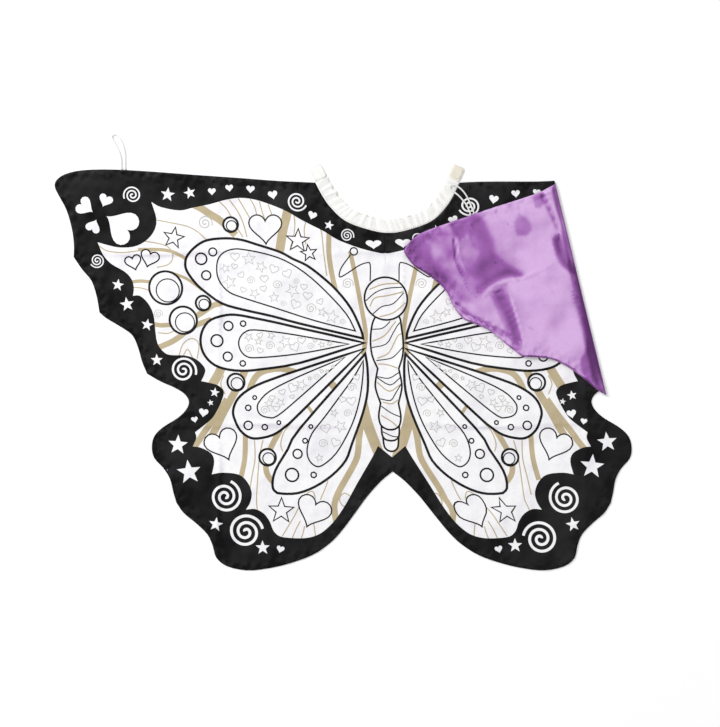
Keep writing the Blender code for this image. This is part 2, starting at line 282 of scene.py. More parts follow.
# Faint motifs inside the cells: place and width or radius.
FAINT_HEARTS = (
    (264, 553, 16), (266, 536, 11), (254, 521, 12), (252, 495, 11), (214, 514, 15),
    (216, 497, 12), (197, 531, 17), (173, 523, 17), (145, 500, 12), (139, 484, 16),
    (117, 474, 12), (161, 469, 18), (225, 415, 11), (152, 406, 14), (226, 388, 11),
    (164, 394, 17), (129, 406, 7), (207, 305, 10), (189, 315, 12), (171, 322, 18),
    (172, 307, 8), (201, 286, 11), (119, 352, 7), (57, 341, 12), (84, 302, 12),
    (68, 299, 17), (115, 251, 18), (99, 226, 17),
)
FAINT_STARS = (
    (240, 550, 12), (219, 536, 10), (282, 533, 8), (275, 509, 12), (232, 489, 9),
    (198, 482, 9), (165, 494, 12), (114, 456, 8), (97, 448, 12), (245, 412, 8),
    (228, 405, 7), (205, 415, 7), (181, 404, 11), (117, 399, 6), (103, 401, 5),
    (213, 296, 8), (193, 297, 8), (155, 328, 10), (140, 340, 4), (109, 352, 4),
    (99, 360, 4), (99, 279, 7), (89, 255, 11), (128, 200, 7),
)
FAINT_SPIRALS = (
    (238, 512, 8), (192, 504, 9), (158, 510, 6), (182, 471, 6), (134, 463, 10),
    (79, 439, 6), (245, 392, 9), (208, 397, 9), (191, 390, 6), (137, 396, 7),
    (221, 284, 9), (128, 342, 7), (67, 324, 9), (76, 278, 8), (121, 225, 9),
)
BACKGROUND_SPIRALS = ((68, 506, 11), (315, 613, 14), (403, 453, 9))

BAND_OVERLAP = 9  # the bands run on this far under what covers their ends
# Tan bands behind the cells: a middle line and a width.
TAN_BANDS = (
    (((345, 650), (323, 640), (308, 630), (285, 615), (268, 598)), 13),
    (((168, 640), (172, 622), (178, 602), (185, 566), (190, 545)), 16),
    (((98, 587), (99, 562), (96, 530), (90, 497)), 9),
    (((60, 555), (53, 515), (43, 451), (39, 416), (43, 390)), 8),
    (((48, 290), (42, 262), (29, 224), (22, 205)), 19),
    (((52, 262), (57, 234), (61, 203), (74, 177), (94, 144), (104, 119), (103, 93), (100, 78)), 11),
    (((446, 509), (430, 511), (400, 507)), 6),
    (((370, 523), (357, 518), (346, 512), (330, 500)), 5),
    (((416, 437), (398, 433), (370, 436)), 8),
    (((410, 392), (385, 402), (365, 414), (345, 430), (318, 440)), 10),
    (((340, 446), (320, 459), (303, 469), (280, 475)), 10),
    (((290, 372), (297, 354), (306, 338), (322, 312)), 16),
    (((250, 362), (262, 335), (280, 303), (292, 283), (306, 256), (322, 228)), 13),
    (((350, 216), (339, 230), (329, 245), (316, 262), (304, 278), (292, 296)), 11),
    (((165, 350), (190, 357), (224, 351), (240, 335), (246, 320)), 11),
    (((257, 238), (259, 200), (266, 170)), 9),
    (((199, 242), (212, 219), (222, 190), (219, 168), (205, 152)), 10),
    (((128, 262), (118, 282), (112, 300)), 8),
    (((122, 350), (92, 320)), 13),
    (((154, 304), (134, 274)), 6),
    (((425, 566), (395, 566), (368, 560), (344, 545)), 6),
)
TAN_LINES = (
    ((399, 618), (373, 613), (346, 607), (328, 597), (314, 584)),
    ((422, 581), (399, 577), (383, 572), (374, 561), (375, 548), (384, 539), (402, 535)),
    ((503, 573), (489, 564), (464, 561), (441, 563), (419, 566), (408, 561)),
    ((241, 231), (241, 199), (247, 170), (251, 150), (254, 135)),
    ((226, 231), (233, 203), (238, 160), (241, 126), (240, 105)),
    ((167, 270), (187, 248), (195, 225), (192, 211)),
    ((114, 160), (121, 143), (129, 126)),
    ((113, 605), (110, 592), (108, 560), (104, 520)),
    ((290, 652), (275, 636), (262, 610), (249, 588)),
    ((271, 654), (256, 632), (247, 610), (242, 588)),
    ((255, 656), (246, 640), (234, 618)),
    ((234, 655), (227, 642), (223, 626)),
    ((218, 651), (213, 630), (206, 610)),
    ((203, 646), (197, 628)),
    ((158, 628), (157, 610), (160, 590), (166, 570)),
    ((138, 614), (141, 600), (139, 575)),
    ((446, 500), (428, 498), (410, 490), (396, 476)),
    ((404, 420), (386, 419), (368, 428), (349, 441), (330, 458)),
    ((369, 378), (361, 400), (345, 410), (333, 400), (337, 374)),
    ((362, 378), (353, 391), (345, 376)),
    ((291, 345), (297, 330), (290, 312)),
    ((198, 62), (174, 100), (156, 133), (142, 141), (137, 129)),
    ((182, 55), (174, 73), (165, 89)),
    ((166, 55), (161, 68), (158, 80)),
    ((139, 56), (140, 70), (142, 86)),
    ((72, 130), (86, 138), (95, 128), (90, 116), (78, 112)),
)

CIRCLES = (
    (324, 550, 10), (316, 521, 8), (303, 562, 7), (301, 406, 10.5), (283, 378, 8),
    (257, 366, 5), (280, 432, 8), (254, 436, 5), (238, 306, 3.5), (250, 288, 5),
    (251, 257, 7.5), (222, 254, 5), (197, 262, 3.5), (166, 207, 8), (177, 170, 11.6),
    (139, 170, 5), (152, 230, 4.4), (141, 255, 3.5),
)
DOUBLE_CIRCLES = (
    (388, 499, 29), (359, 442, 24), (323, 472, 13), (270, 610, 13), (270, 333, 15),
    (219, 201, 14.6),
)
OUTLINE_HEARTS = (
    (443, 543, 29, -104), (415, 550, 33, -72), (209, 602, 58, -90), (297, 222, 60, -111),
    (143, 104, 61, -66),
)
OUTLINE_STARS = ((371, 587, 19, 12), (153, 582, 21, 5), (134, 560, 15, -8), (198, 107, 23, 3))

WHITE_HEARTS = (
    (524, 641, 33, -145), (489, 652, 25, -65), (511, 608, 26, 115), (464, 609, 62, 34),
    (301, 668, 14, -90), (270, 674, 14, -95), (233, 672, 15, -85), (194, 662, 17, -100),
    (126, 626, 16, -70), (329, 279, 17, -80), (345, 267, 12, -100),
    (202, 39, 14, -75),
)
WHITE_STARS = (
    (379, 663, 13, 8), (340, 666, 11, -15), (472, 504, 11, 10), (457, 470, 13, -8),
    (423, 434, 11, 12), (408, 372, 11, 0), (308, 315, 9, 10), (316, 297, 6, -10),
    (376, 223, 18, 5), (358, 175, 22, -6), (314, 83, 13, 10), (233, 42, 13, 0),
    (97, 609, 9, 15),
)
WHITE_SPIRALS = (
    (441, 662, 17, 337, -1), (507, 547, 14, 330), (362, 354, 25, 200), (296, 132, 31, 112, -1),
    (262, 70, 33, 170), (152, 651, 19, 204, -1), (66, 591, 13, 200),
)
WIDE_HEARTS = ((20, 575, 28),)
WIDE_SQUASH = 0.62  # a wide heart's height, as a share of a plain one's

# The insect in the middle. Its lines run unbroken across the centre crease.
HEAD = (-1.5, 480, 37.6)
ANTENNA = ((61, 557), (77, 536), (82, 523), (80, 518), (67, 525), (47, 538), (33, 543),
           (27, 540), (28, 511))
ANTENNA_BALL = (55, 563, 6.5)
# Each segment: the smooth runs of its left edge from top to bottom, as distances out. The
# right edge mirrors it, drawn in a little by the crease.
SEGMENTS = (
    (((20, 450), (27, 435), (31, 407), (29, 380), (20, 357)),
     ((20, 357), (25, 332), (24, 318), (17, 296)),
     ((17, 296), (21, 274), (18, 258), (9, 251), (0, 249))),
    (((17, 258), (16, 240), (10, 232), (0, 230)),),
    (((15, 238), (13, 220), (7, 213), (0, 211)),),
)
BODY_LINES = (
    ((-37, 476), (-19, 491), (1, 498), (28, 500)),
    ((-25, 453), (-9, 466), (11, 471), (30, 490)),
    ((-27, 426), (-9, 428), (5, 440)),
    ((-29, 394), (-4, 400), (11, 420), (24, 438)),
    ((-22, 371), (4, 375), (16, 382), (29, 394)),
    ((-22, 343), (-1, 340), (20, 350)),
    ((-23, 342), (1, 328), (22, 341)),
    ((-18, 304), (1, 301), (12, 314), (24, 330)),
    ((-16, 291), (1, 279), (20, 272)),
    ((-15, 246), (2, 238), (14, 237)),
)
BODY_BANDS = (
    ((-30, 496), (-6, 505), (23, 507)),
    ((-30, 466), (-21, 481), (1, 485), (30, 492)),
    ((-14, 448), (11, 455), (33, 473)),
    ((-28, 405), (-6, 415), (16, 440)),
    ((-20, 375), (1, 385), (19, 413), (28, 418)),
    ((-19, 365), (-4, 364), (17, 358)),
    ((-22, 333), (-1, 317), (22, 329)),
    ((-13, 298), (3, 295), (18, 303)),
    ((-17, 275), (1, 264), (13, 255)),
)


def fill(ink, ring, windowed=True, mirrored=True):
    SHAPES.append((ink, np.array(ring, float), windowed, mirrored))


def drawn(ring, width, inside=WHITE, line=BLACK, mirrored=True):
    """A closed outline of that width, with its inside filled."""
    ring = spaced(np.array(ring, float), 0.9 * width)
    if signed_area(ring) < 0:
        ring = ring[::-1]
    fill(line, offset(ring, -width / 2, True), mirrored=mirrored)
    fill(inside, offset(ring, width / 2, True), mirrored=mirrored)


def closed_from_point(points, steps=3):
    """A smooth outline with its one corner at the first point."""
    return smooth(list(points) + [points[0]], steps)[:-1]


def draw_window():
    ring = [np.array([WINDOW_RUNS[0][0]], float)]
    for run in WINDOW_RUNS:
        ring.append(smooth(run)[1:])
    fill(WHITE, np.vstack(ring), windowed=False)


def lengthened(line, by):
    """The line with both ends run on, so that it passes under what covers them."""
    line = np.array(line, float)
    for end, inner in ((0, 1), (-1, -2)):
        way = line[end] - line[inner]
        line[end] = line[end] + way / np.linalg.norm(way) * by
    return line


def draw_background():
    for line, width in TAN_BANDS:
        fill(TAN, stroke(smooth(lengthened(line, BAND_OVERLAP)), width))
    for line in TAN_LINES:
        fill(TAN, stroke(smooth(line), TAN_LINE))
    for place in BACKGROUND_SPIRALS:
        fill(GREY, spiral(*place, turns=2.4, width=0.13))


def draw_cells():
    for x, y, radius in DOUBLE_CIRCLES:
        drawn(disc(x, y, radius), DOUBLE_CIRCLE_LINE)
        drawn(disc(x - radius * 0.12, y - radius * 0.16, radius * 0.7), INNER_CIRCLE_LINE)
    for outer, inner in CELLS:
        drawn(closed_from_point(outer), CELL_LINE)
        drawn(closed_from_point(inner), INNER_CELL_LINE)


def draw_motifs():
    for x, y, radius in CIRCLES:
        drawn(disc(x, y, radius, 14), INNER_CIRCLE_LINE + radius * 0.09)
    for x, y, width, points_to in OUTLINE_HEARTS:
        drawn(heart(x, y, width, points_to), HEART_LINE)
    for x, y, radius, turn in OUTLINE_STARS:
        drawn(star(x, y, radius, turn), STAR_LINE)
    for i, (x, y, width) in enumerate(FAINT_HEARTS):
        drawn(heart(x, y, width, -90 + 25 * math.sin(2.4 * i)), FAINT_LINE, line=GREY)
    for i, (x, y, radius) in enumerate(FAINT_STARS):
        drawn(star(x, y, radius, 30 * math.sin(1.9 * i)), FAINT_LINE, line=GREY)
    for place in FAINT_SPIRALS:
        fill(GREY, spiral(*place, turns=2.2, width=0.14))


def drawn_in(line):
    """A line of the body, closer to the crease where it lies on the right wing."""
    line = np.array(line, float)
    near = 1 - 0.15 * ease((450 - line[:, 1]) / 20)
    line[:, 0] *= np.where(line[:, 0] > 0, near, 1.0)
    return line


def draw_body():
    fill(BLACK, stroke(smooth(ANTENNA), ANTENNA_LINE))
    drawn(disc(*ANTENNA_BALL), ANTENNA_BALL_LINE)
    for runs in reversed(SEGMENTS):
        right = np.vstack([smooth(run)[:-1] for run in runs] + [runs[-1][-1]])
        left = right[-2::-1] * (-1, 1)
        drawn(drawn_in(np.vstack((right, left))), BODY_OUTLINE, mirrored=False)
    drawn(disc(*HEAD, 36), BODY_OUTLINE, mirrored=False)
    for line in BODY_BANDS:
        fill(TAN, stroke(drawn_in(smooth(line)), BODY_BAND), mirrored=False)
    for line in BODY_LINES:
        fill(BLACK, stroke(drawn_in(smooth(line)), BODY_LINE), mirrored=False)


def draw_border_motifs():
    for place in WHITE_HEARTS:
        fill(WHITE, heart(*place), windowed=False)
    for place in WHITE_STARS:
        fill(WHITE, star(*place), windowed=False)
    for place in WHITE_SPIRALS:
        fill(WHITE, spiral(*place), windowed=False)
    for x, y, width in WIDE_HEARTS:
        fill(WHITE, heart(0, 0, width) * (1, WIDE_SQUASH) + (x, y), windowed=False)


# The border's motifs that lie elsewhere on the right wing: their place and their move.
RIGHT_MOVES = (
    (233, 42, -22, 4), (202, 39, -20, 0), (262, 70, -6, -12), (296, 132, 6, -3),
    (376, 223, 3, 5), (358, 175, -7, 10), (308, 315, 12, -5), (316, 297, -13, 2),
    (329, 279, -11, -2), (345, 267, -6, -3), (20, 575, 12, 2),
)
WINDOW_DRIFT = 11.5  # how far the window's shapes lie further in there
BORDER_DRIFT = 5  # and the border's, near the neck
TOP_DRIFT = 8  # how much lower the border's shapes lie along the top


def drifted(ring, within):
    """A shape of the right wing, where the gathered cloth there carries it."""
    x, y = ring[:, 0], ring[:, 1]
    if within:
        aside = WINDOW_DRIFT * ease((600 - y) / 190) * ease((y - 100) / 32)
        return ring - np.column_stack((aside, np.zeros(len(y))))
    for place_x, place_y, across, up in RIGHT_MOVES:
        if np.hypot(x.mean() - place_x, y.mean() - place_y) < 5:
            return ring + (across, up)
    high = ease((y.min() - 500) / 60)
    aside = BORDER_DRIFT * high * ease((170 - x) / 60)
    down = TOP_DRIFT * ease((y - 540) / 60) * ease((x - 30) / 40) * ease((430 - x) / 40)
    return ring - np.column_stack((aside, down))


def draw_print():
    draw_window()
    draw_background()
    draw_body()
    draw_cells()
    draw_motifs()
    draw_border_motifs()


# ---------------------------------------------------------------- the cut


class Fold:
    """A wing tip's fold line in the flat cut."""

    def __init__(self, joint, side):
        self.middle = np.array(joint["pos_m"][:2]) / MM
        along = np.array(joint["axis"][:2])
        self.along = along / np.linalg.norm(along)
        self.out = side * np.array((self.along[1], -self.along[0]))

    def beyond(self, flat):
        """How far points are past the line, towards the tip."""
        return (flat - self.middle) @ self.out

    def up(self, flat):
        """How far points are along the line, upwards from its middle."""
        return (flat - self.middle) @ self.along

    def mirrored(self, flat):
        return flat - 2 * self.beyond(flat)[:, None] * self.out

    def snapped(self, ring, reach=1.3):
        """The ring with its points near the line put on it."""
        past = self.beyond(ring)
        near = (np.abs(past) < reach)[:, None]
        return np.where(near, ring - past[:, None] * self.out, ring)


RIGHT_FOLD = Fold(JOINTS["right_tip_fold"], 1)
LEFT_FOLD = Fold(JOINTS["left_tip_fold"], -1)


def outline(node):
    """A panel's edge as a ring in millimetres, read from the top face of its solid."""
    mesh = frame["nodes"][node].data
    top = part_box(node)[1].z
    edges = set()
    for polygon in mesh.polygons:
        corners = [mesh.vertices[i].co for i in polygon.vertices]
        if max(top - corner.z for corner in corners) > 0.1 * MM:
            continue
        keys = [(round(c.x / MM, 2), round(c.y / MM, 2)) for c in corners]
        edges |= set(zip(keys, keys[1:] + keys[:1]))
    following = {a: b for a, b in edges if (b, a) not in edges}
    start = min(following)
    ring = [start]
    while following[ring[-1]] != start:
        ring.append(following[ring[-1]])
    return np.array(ring)


def snapped_to_crease(ring, reach=0.6):
    past = pattern_x(ring)
    moved = ring.copy()
    moved[:, 0] = np.where(np.abs(past) < reach, ring[:, 0] - past, ring[:, 0])
    return moved


RINGS = {
    "right": RIGHT_FOLD.snapped(snapped_to_crease(outline("front_panel_right"))),
    "left": LEFT_FOLD.snapped(snapped_to_crease(outline("front_panel_left"))),
    "left_tip": LEFT_FOLD.snapped(outline("front_panel_left_tip")),
    "right_tip": RIGHT_FOLD.snapped(
        RIGHT_FOLD.mirrored(outline("front_panel_right_tip")))[::-1],
}


def foot_of(fold, ring):
    """How far up a fold its lower end lies, from a ring with an edge on it."""
    return fold.up(ring)[np.abs(fold.beyond(ring)) < 0.01].min()


def settled(ring):
    """The right wing's ring with its top edge sunk towards the fold, as the cloth lies."""
    up = RIGHT_FOLD.up(ring)
    near = ease(1 - np.abs(RIGHT_FOLD.beyond(ring)) / 150) * (up > 60)
    return ring - (TOP_SINK * near)[:, None] * RIGHT_FOLD.along


RIGHT_FOOT = foot_of(RIGHT_FOLD, RINGS["right_tip"])
RINGS["right"] = settled(RINGS["right"])
RINGS["right_tip"] = settled(RINGS["right_tip"])


def densified(ring, step=2.0):
    """Points along a closed ring, no further apart than the step."""
    points = []
    for a, b in zip(ring, np.roll(ring, -1, axis=0)):
        count = max(1, int(np.linalg.norm(b - a) / step))
        points.append(a + (b - a) * (np.arange(count) / count)[:, None])
    return np.vstack(points)


def hem_points():
    """Points along the cape's free edge, without the folds and the crease."""
    points = np.vstack([densified(ring) for ring in RINGS.values()])
    free = (np.abs(RIGHT_FOLD.beyond(points)) > 0.8) & (np.abs(LEFT_FOLD.beyond(points)) > 0.8)
    free &= np.abs(pattern_x(points)) > 0.8
    return points[free]


HEM = hem_points()


def from_hem(flat):
    """Distance of points from the free edge."""
    nearest = np.full(len(flat), 1e9)
    for start in range(0, len(HEM), 200):
        gap = flat[:, None, :] - HEM[None, start:start + 200, :]
        nearest = np.minimum(nearest, np.sqrt((gap ** 2).sum(axis=2)).min(axis=1))
    return nearest


def inside(ring, points):
    """Which points lie inside a ring."""
    hit = np.zeros(len(points), bool)
    for (ax, ay), (bx, by) in zip(ring, np.roll(ring, -1, axis=0)):
        spans = (ay > points[:, 1]) != (by > points[:, 1])
        slope = (bx - ax) / (by - ay) if by != ay else 0.0
        hit ^= spans & (points[:, 0] < ax + (points[:, 1] - ay) * slope)
    return hit


def cloth_points(spacing, fine):
    """A staggered grid of points over the cut, finer on the right tip."""
    low = np.vstack(list(RINGS.values())).min(axis=0)
    high = np.vstack(list(RINGS.values())).max(axis=0)
    kept = []
    for name, step in (("right", spacing), ("left", spacing), ("left_tip", spacing),
                       ("right_tip", fine)):
        rows = np.arange(low[1], high[1], step * 0.87)
        columns = np.arange(low[0], high[0], step)
        grid = np.array([(x + (i % 2) * step / 2, y) for i, y in enumerate(rows)
                         for x in columns])
        grid = grid[inside(RINGS[name], grid)]
        kept.append(grid[from_hem(grid) > HEM_ROUND + 1.0])
    points = np.vstack(kept)
    return points[np.abs(RIGHT_FOLD.beyond(points)) > CLEAR_OF_FOLD]


def hem_rows():
    """Rows of points just inside the free edge, so the hem can be round."""
    rows = []
    for ring in RINGS.values():
        dense = densified(ring, 5.0)
        for inset in HEM_ROWS:
            row = offset(dense, inset, True)
            rows.append(row[inside(ring, row)])
    points = np.vstack(rows)
    distance = from_hem(points)
    folded = np.abs(RIGHT_FOLD.beyond(points)) < CLEAR_OF_FOLD
    return points[(distance > 0.35) & (distance < HEM_ROUND + 1) & ~folded]


def fold_rows():
    """Rows of points on both sides of the right tip's fold, for its roll."""
    ring = RINGS["right_tip"]
    ends = RIGHT_FOLD.up(ring)[np.abs(RIGHT_FOLD.beyond(ring)) < 0.01]
    along = np.arange(ends.min() + 3, ends.max() - 3, 4.0)
    line = RIGHT_FOLD.middle + along[:, None] * RIGHT_FOLD.along
    insets = [-past for past in reversed(FOLD_ROWS)] + list(FOLD_ROWS)
    points = np.vstack([line + past * RIGHT_FOLD.out for past in insets])
    covered = inside(RINGS["right"], points) | inside(RINGS["right_tip"], points)
    return points[covered & (from_hem(points) > 0.8)]


class Plan:
    """What goes into the flat cut's triangulation."""

    def __init__(self):
        self.points = []
        self.edges = []
        self.faces = []

    def add_ring(self, ring):
        if signed_area(ring) < 0:
            ring = ring[::-1]
        start = len(self.points)
        self.points += [tuple(p) for p in ring]
        self.faces.append(list(range(start, start + len(ring))))

    def add_line(self, a, b):
        self.edges.append((len(self.points), len(self.points) + 1))
        self.points += [tuple(a), tuple(b)]

    def add_points(self, points):
        self.points += [tuple(p) for p in points]


def triangulated(printed):
    """The flat cut as points, triangles and each triangle's ink."""
    plan = Plan()
    for ring in RINGS.values():
        plan.add_ring(ring)
    panels = len(plan.faces)
    inks = [BLACK] * panels
    windowed = [False] * panels
    for ink, ring, within, mirrored in SHAPES if printed else ():
        for side in (1, -1) if mirrored else (1,):
            shape = drifted(ring, within) if mirrored and side == 1 else ring * (side, 1)
            plan.add_ring(laid(shape))
            inks.append(ink)
            windowed.append(within)
    windows = {panels, panels + 1}
    for x in (-CUT_AT, CUT_AT):
        plan.add_line(*laid([(x, y) for y in CUT_ENDS]))
    plan.add_points(cloth_points(GRID, GRID if printed else FINE_GRID))
    plan.add_points(hem_rows())
    plan.add_points(fold_rows())
    points = [Vector(p) for p in plan.points]
    out = geometry.delaunay_2d_cdt(points, plan.edges, plan.faces, 0, 1e-4, True)
    triangles = []
    ink_of = []
    for triangle, sources in zip(out[2], out[5]):
        if not any(s < panels for s in sources):
            continue
        seen = bool(windows & set(sources))
        top = max(s for s in sources if seen or not windowed[s])
        triangles.append(triangle)
        ink_of.append(inks[top])
    flat = np.array([tuple(p) for p in out[0]])
    return flat, np.array(triangles), np.array(ink_of)


# ---------------------------------------------------------------- wrinkles

# Waves in the cloth: way, wavelength, share and phase.
WAVES = (
    (12, 150, 1.0, 0.3), (75, 118, 0.8, 1.9), (140, 92, 0.6, 4.1), (35, 74, 0.45, 2.7),
    (105, 61, 0.35, 5.2), (168, 47, 0.25, 0.9),
)
# Creases from packing: across x or y, where, and how high they stand.
PACKING_CREASES = (
    ("x", -220, 1.0), ("x", 104, 0.9), ("x", 426, 0.7), ("y", 176, 0.7), ("y", -127, 0.8),
)
CREASE_WIDTH = 4.5

# Folds of the purple tip as it lies: a line, half a width and a depth. A fold's hollow is deeper
# and gets painted shade, and a negative depth is a raised ridge with a painted highlight.
TIP_FOLDS = (
    (((222, 250), (249, 216), (265, 185), (293, 160), (315, 146)), 14, 1.0),
    (((272, 170), (240, 132), (212, 116)), 17, 1.0),
    (((268, 112), (287, 78), (303, 37), (310, 12)), 8, 2.6),
    (((284, 122), (297, 92), (309, 50), (320, 10)), 4, -1.2),
    (((194, 200), (199, 163), (212, 134)), 2.6, 2.2),
    (((200, 204), (205, 165), (218, 136)), 4, -1.2),
    (((190, 232), (201, 208), (212, 200)), 5, 1.3),
    (((226, 226), (228, 200), (238, 180)), 5, 0.9),
    (((150, 204), (170, 190)), 5, 1.0),
    (((112, 184), (150, 156), (184, 130), (200, 108)), 11, 1.2),
    (((196, 88), (224, 64), (265, 42), (296, 26)), 4.5, 2.8),
    (((186, 92), (214, 62), (256, 36), (300, 12)), 3.5, -1.0),
    (((228, 100), (262, 125), (293, 137), (320, 132)), 8, 1.6),
    (((240, 94), (265, 117), (290, 127), (317, 132), (364, 154)), 4, -1.5),
    (((345, 284), (364, 248), (379, 214)), 4, 2.0),
    (((354, 288), (373, 248), (388, 214)), 5, -1.2),
    (((374, 212), (381, 180), (397, 152), (414, 138)), 7, 2.6),
    (((404, 112), (425, 50), (439, -18), (446, -60)), 8, 2.0),
    (((330, 40), (352, 70), (380, 84)), 26, -0.5),
    (((280, 232), (300, 252)), 20, -0.5),
)
# Patches of the purple tip that lie in shade: a ring, its soft edge and how dark it is.
TIP_SHADES = (
    (((95, 190), (140, 232), (225, 262), (246, 235), (263, 200), (270, 170), (300, 150),
      (318, 134), (290, 131), (262, 118), (238, 92), (205, 84), (170, 80), (120, 120)), 8, 0.31),
    (((222, 246), (236, 250), (252, 216), (264, 180), (290, 152), (318, 134), (285, 137),
      (248, 128), (226, 138), (238, 175), (232, 208)), 8, 0.17),
    (((95, 185), (120, 205), (150, 190), (158, 160), (185, 125), (170, 90), (110, 130)), 7, 0.2),
    (((301, 230), (308, 240), (320, 238), (331, 222), (326, 208), (308, 205), (301, 215)), 5, 0.33),
    (((331, 272), (338, 281), (352, 277), (350, 258), (338, 254)), 4, 0.36),
    (((257, 101), (283, 121), (290, 110), (297, 80), (315, 15), (303, 5), (285, 40)), 4, 0.3),
    (((405, 144), (409, 110), (419, 60), (427, 12), (416, -22), (436, -70), (490, -110),
      (480, 0), (440, 100), (424, 160)), 4.5, 0.46),
    (((366, 200), (371, 175), (384, 150), (418, 134), (412, 150), (398, 165), (388, 186),
      (378, 208)), 4, 0.36),
)
PUCKER_REACH = 16.0  # how far the small gathers run in from the hem
FAR = 1000.0  # stands for a place that the fold doesn't reach


def ripple(x, y, scale=1.0, turn=0.0):
    """Soft waves over the cloth, between about -1 and 1."""
    total = np.zeros(len(x))
    for way, length, share, phase in WAVES:
        angle = math.radians(way + turn)
        along = x * math.cos(angle) + y * math.sin(angle)
        bend = 12 * np.sin((x * math.sin(angle) - y * math.cos(angle)) / 57 + phase)
        total += share * np.sin(2 * math.pi * (along + bend) / (length * scale) + phase)
    return total / 2.2


def bell(distance, width):
    return np.exp(-(distance / width) ** 2)


def near_line(x, y, line, width):
    """How near points are to a smooth line: 1 on it, fading sideways and at its ends."""
    curve = smooth(line, 10)
    gap = (x[:, None] - curve[None, :, 0]) ** 2 + (y[:, None] - curve[None, :, 1]) ** 2
    nearest = gap.argmin(axis=1)
    share = nearest / (len(curve) - 1)
    fade = ease((0.5 - np.abs(share - 0.5)) / 0.25 + 0.3)
    return np.exp(-gap[np.arange(len(x)), nearest] / width ** 2) * fade


def packing(x, y):
    """Height of the creases that packing left."""
    total = np.zeros(len(x))
    for axis, place, height in PACKING_CREASES:
        across, along = (x, y) if axis == "x" else (y, x)
        wander = 2.0 * np.sin(along / 43 + place)
        strength = 0.6 + 0.4 * np.sin(along / 61 + 2 * place)
        total += height * strength * bell(across - place - wander, CREASE_WIDTH)
        total += 0.35 * height * np.tanh((across - place - wander) / 9)
    return total


def pucker(x, y, distance):
    """Small gathers that run in from the sewn hem."""
    along = ripple(x, y, 0.22, 20) + 0.7 * ripple(x, y, 0.13, 70)
    return 0.55 * along * bell(distance, PUCKER_REACH)


def low_height(x, y, distance):
    """Height of the front where the cloth lies unfolded."""
    z = FRONT_Z + 0.6 * (1 + ripple(x, y)) + 0.9 * packing(x, y)
    z = z + pucker(x, y, distance) + 0.2 * ripple(x, y, 0.3, 50)
    return np.minimum(z, LOW_LIMIT)


def tip_hollows(x, y):
    """How far the purple tip's folds sink, by where they lie in the row frame; this also sets the
    painted shade in them.
    """
    total = np.zeros(len(x))
    for line, width, depth in TIP_FOLDS:
        total += depth * near_line(x, y, line, width)
    return total


def tip_shade(x, y):
    """How much of the sheen the purple tip's shaded patches lose."""
    places = np.column_stack((x, y))
    total = np.zeros(len(x))
    for corners, soft, depth in TIP_SHADES:
        ring = closed_from_point(corners)
        gap = np.full(len(x), 1e9)
        for place in densified(ring, 3.0):
            gap = np.minimum(gap, np.hypot(x - place[0], y - place[1]))
        gap = np.where(inside(ring, places), gap, -gap)
        total += depth * ease(0.5 + gap / (2 * soft))
    return total


def tip_shape(x, y):
    """Height of the purple tip's soft folds."""
    swell = 1.5 * (1 + ripple(x, y, 1.1, 35)) + 0.35 * ripple(x, y, 0.4, 10)
    return 2.4 + swell - 0.65 * tip_hollows(x, y)


def laid_out(flat, layer):
    """Where the points of the flat cut lie, in millimetres: shape (count, 3)."""
    distance = from_hem(flat)
    x, y = flat[:, 0], flat[:, 1]
    low = low_height(x, y, distance)
    if layer == "back":
        low = BACK_Z + 0.35 * (low - FRONT_Z)
    rim = np.sqrt(np.clip(1 - (1 - np.clip(distance / HEM_ROUND, 0, 1)) ** 2, 0, 1))
    hem = HEM_Z - (HEM_GAP if layer == "back" else 0.0)
    low = hem + (low - hem) * rim
    return folded_over(flat, low, distance, rim, layer)


def folded_over(flat, low, distance, rim, layer):
    """Carry the right tip over its fold."""
    up = RIGHT_FOLD.up(flat)
    folds = up > RIGHT_FOOT - 0.3
    past = np.where(folds, RIGHT_FOLD.beyond(flat), -FAR)
    down_fold = ease((150 - up) / 260)
    roll = TIP_ROLL[0] + (TIP_ROLL[1] - TIP_ROLL[0]) * down_fold
    roll = np.maximum(roll * ease((up - RIGHT_FOOT) / 60 + 0.15), LEAST_ROLL)
    mirrored = RIGHT_FOLD.mirrored(flat)
    if layer == "back":
        settle = ease((past - 1) / (10 + 8 * down_fold))
        high = TIP_BACK_Z + (0.6 + tip_shape(mirrored[:, 0], mirrored[:, 1])) * settle
        high = high + 1.2 * pucker(mirrored[:, 0], mirrored[:, 1], distance)
    else:
        high = TIP_FRONT_Z + 0.3 * ripple(mirrored[:, 0], mirrored[:, 1])
        high = high + 0.6 * pucker(mirrored[:, 0], mirrored[:, 1], distance)
        roll = roll - FRONT_INSET
    least = FOLD_BLEND[1] + TIP_CLEAR + (LAYER_GAP if layer == "back" else 0.0)
    high = np.maximum(high, least)
    hem = TIP_HEM_Z + (HEM_GAP if layer == "back" else 0.0)
    high = hem + (high - hem) * rim
    turn = np.pi * np.clip((past + roll) / (2 * roll), 0, 1)
    reach = np.where(np.abs(past) < roll, roll * (np.sin(turn) - 1), -np.abs(past))
    reach = reach - (FRONT_INSET if layer == "front" else 0.0) * np.sin(turn)
    middle, half = (low + high) / 2, (high - low) / 2
    place = flat + (reach - past)[:, None] * RIGHT_FOLD.out
    return np.column_stack((place, np.where(folds, middle - half * np.cos(turn), low)))


def normals_of(flat, layer, step=0.4):
    """Surface normals of the laid cloth, facing out of the printed side when flat."""
    east = laid_out(flat + (step, 0), layer) - laid_out(flat - (step, 0), layer)
    north = laid_out(flat + (0, step), layer) - laid_out(flat - (0, step), layer)
    normal = np.cross(east, north)
    return normal / (np.linalg.norm(normal, axis=1)[:, None] + 1e-12)


# ---------------------------------------------------------------- materials


def node(tree, kind, **inputs):
    made = tree.nodes.new(kind)
    for name, value in inputs.items():
        made.inputs[name.replace("_", " ")].default_value = value
    return made


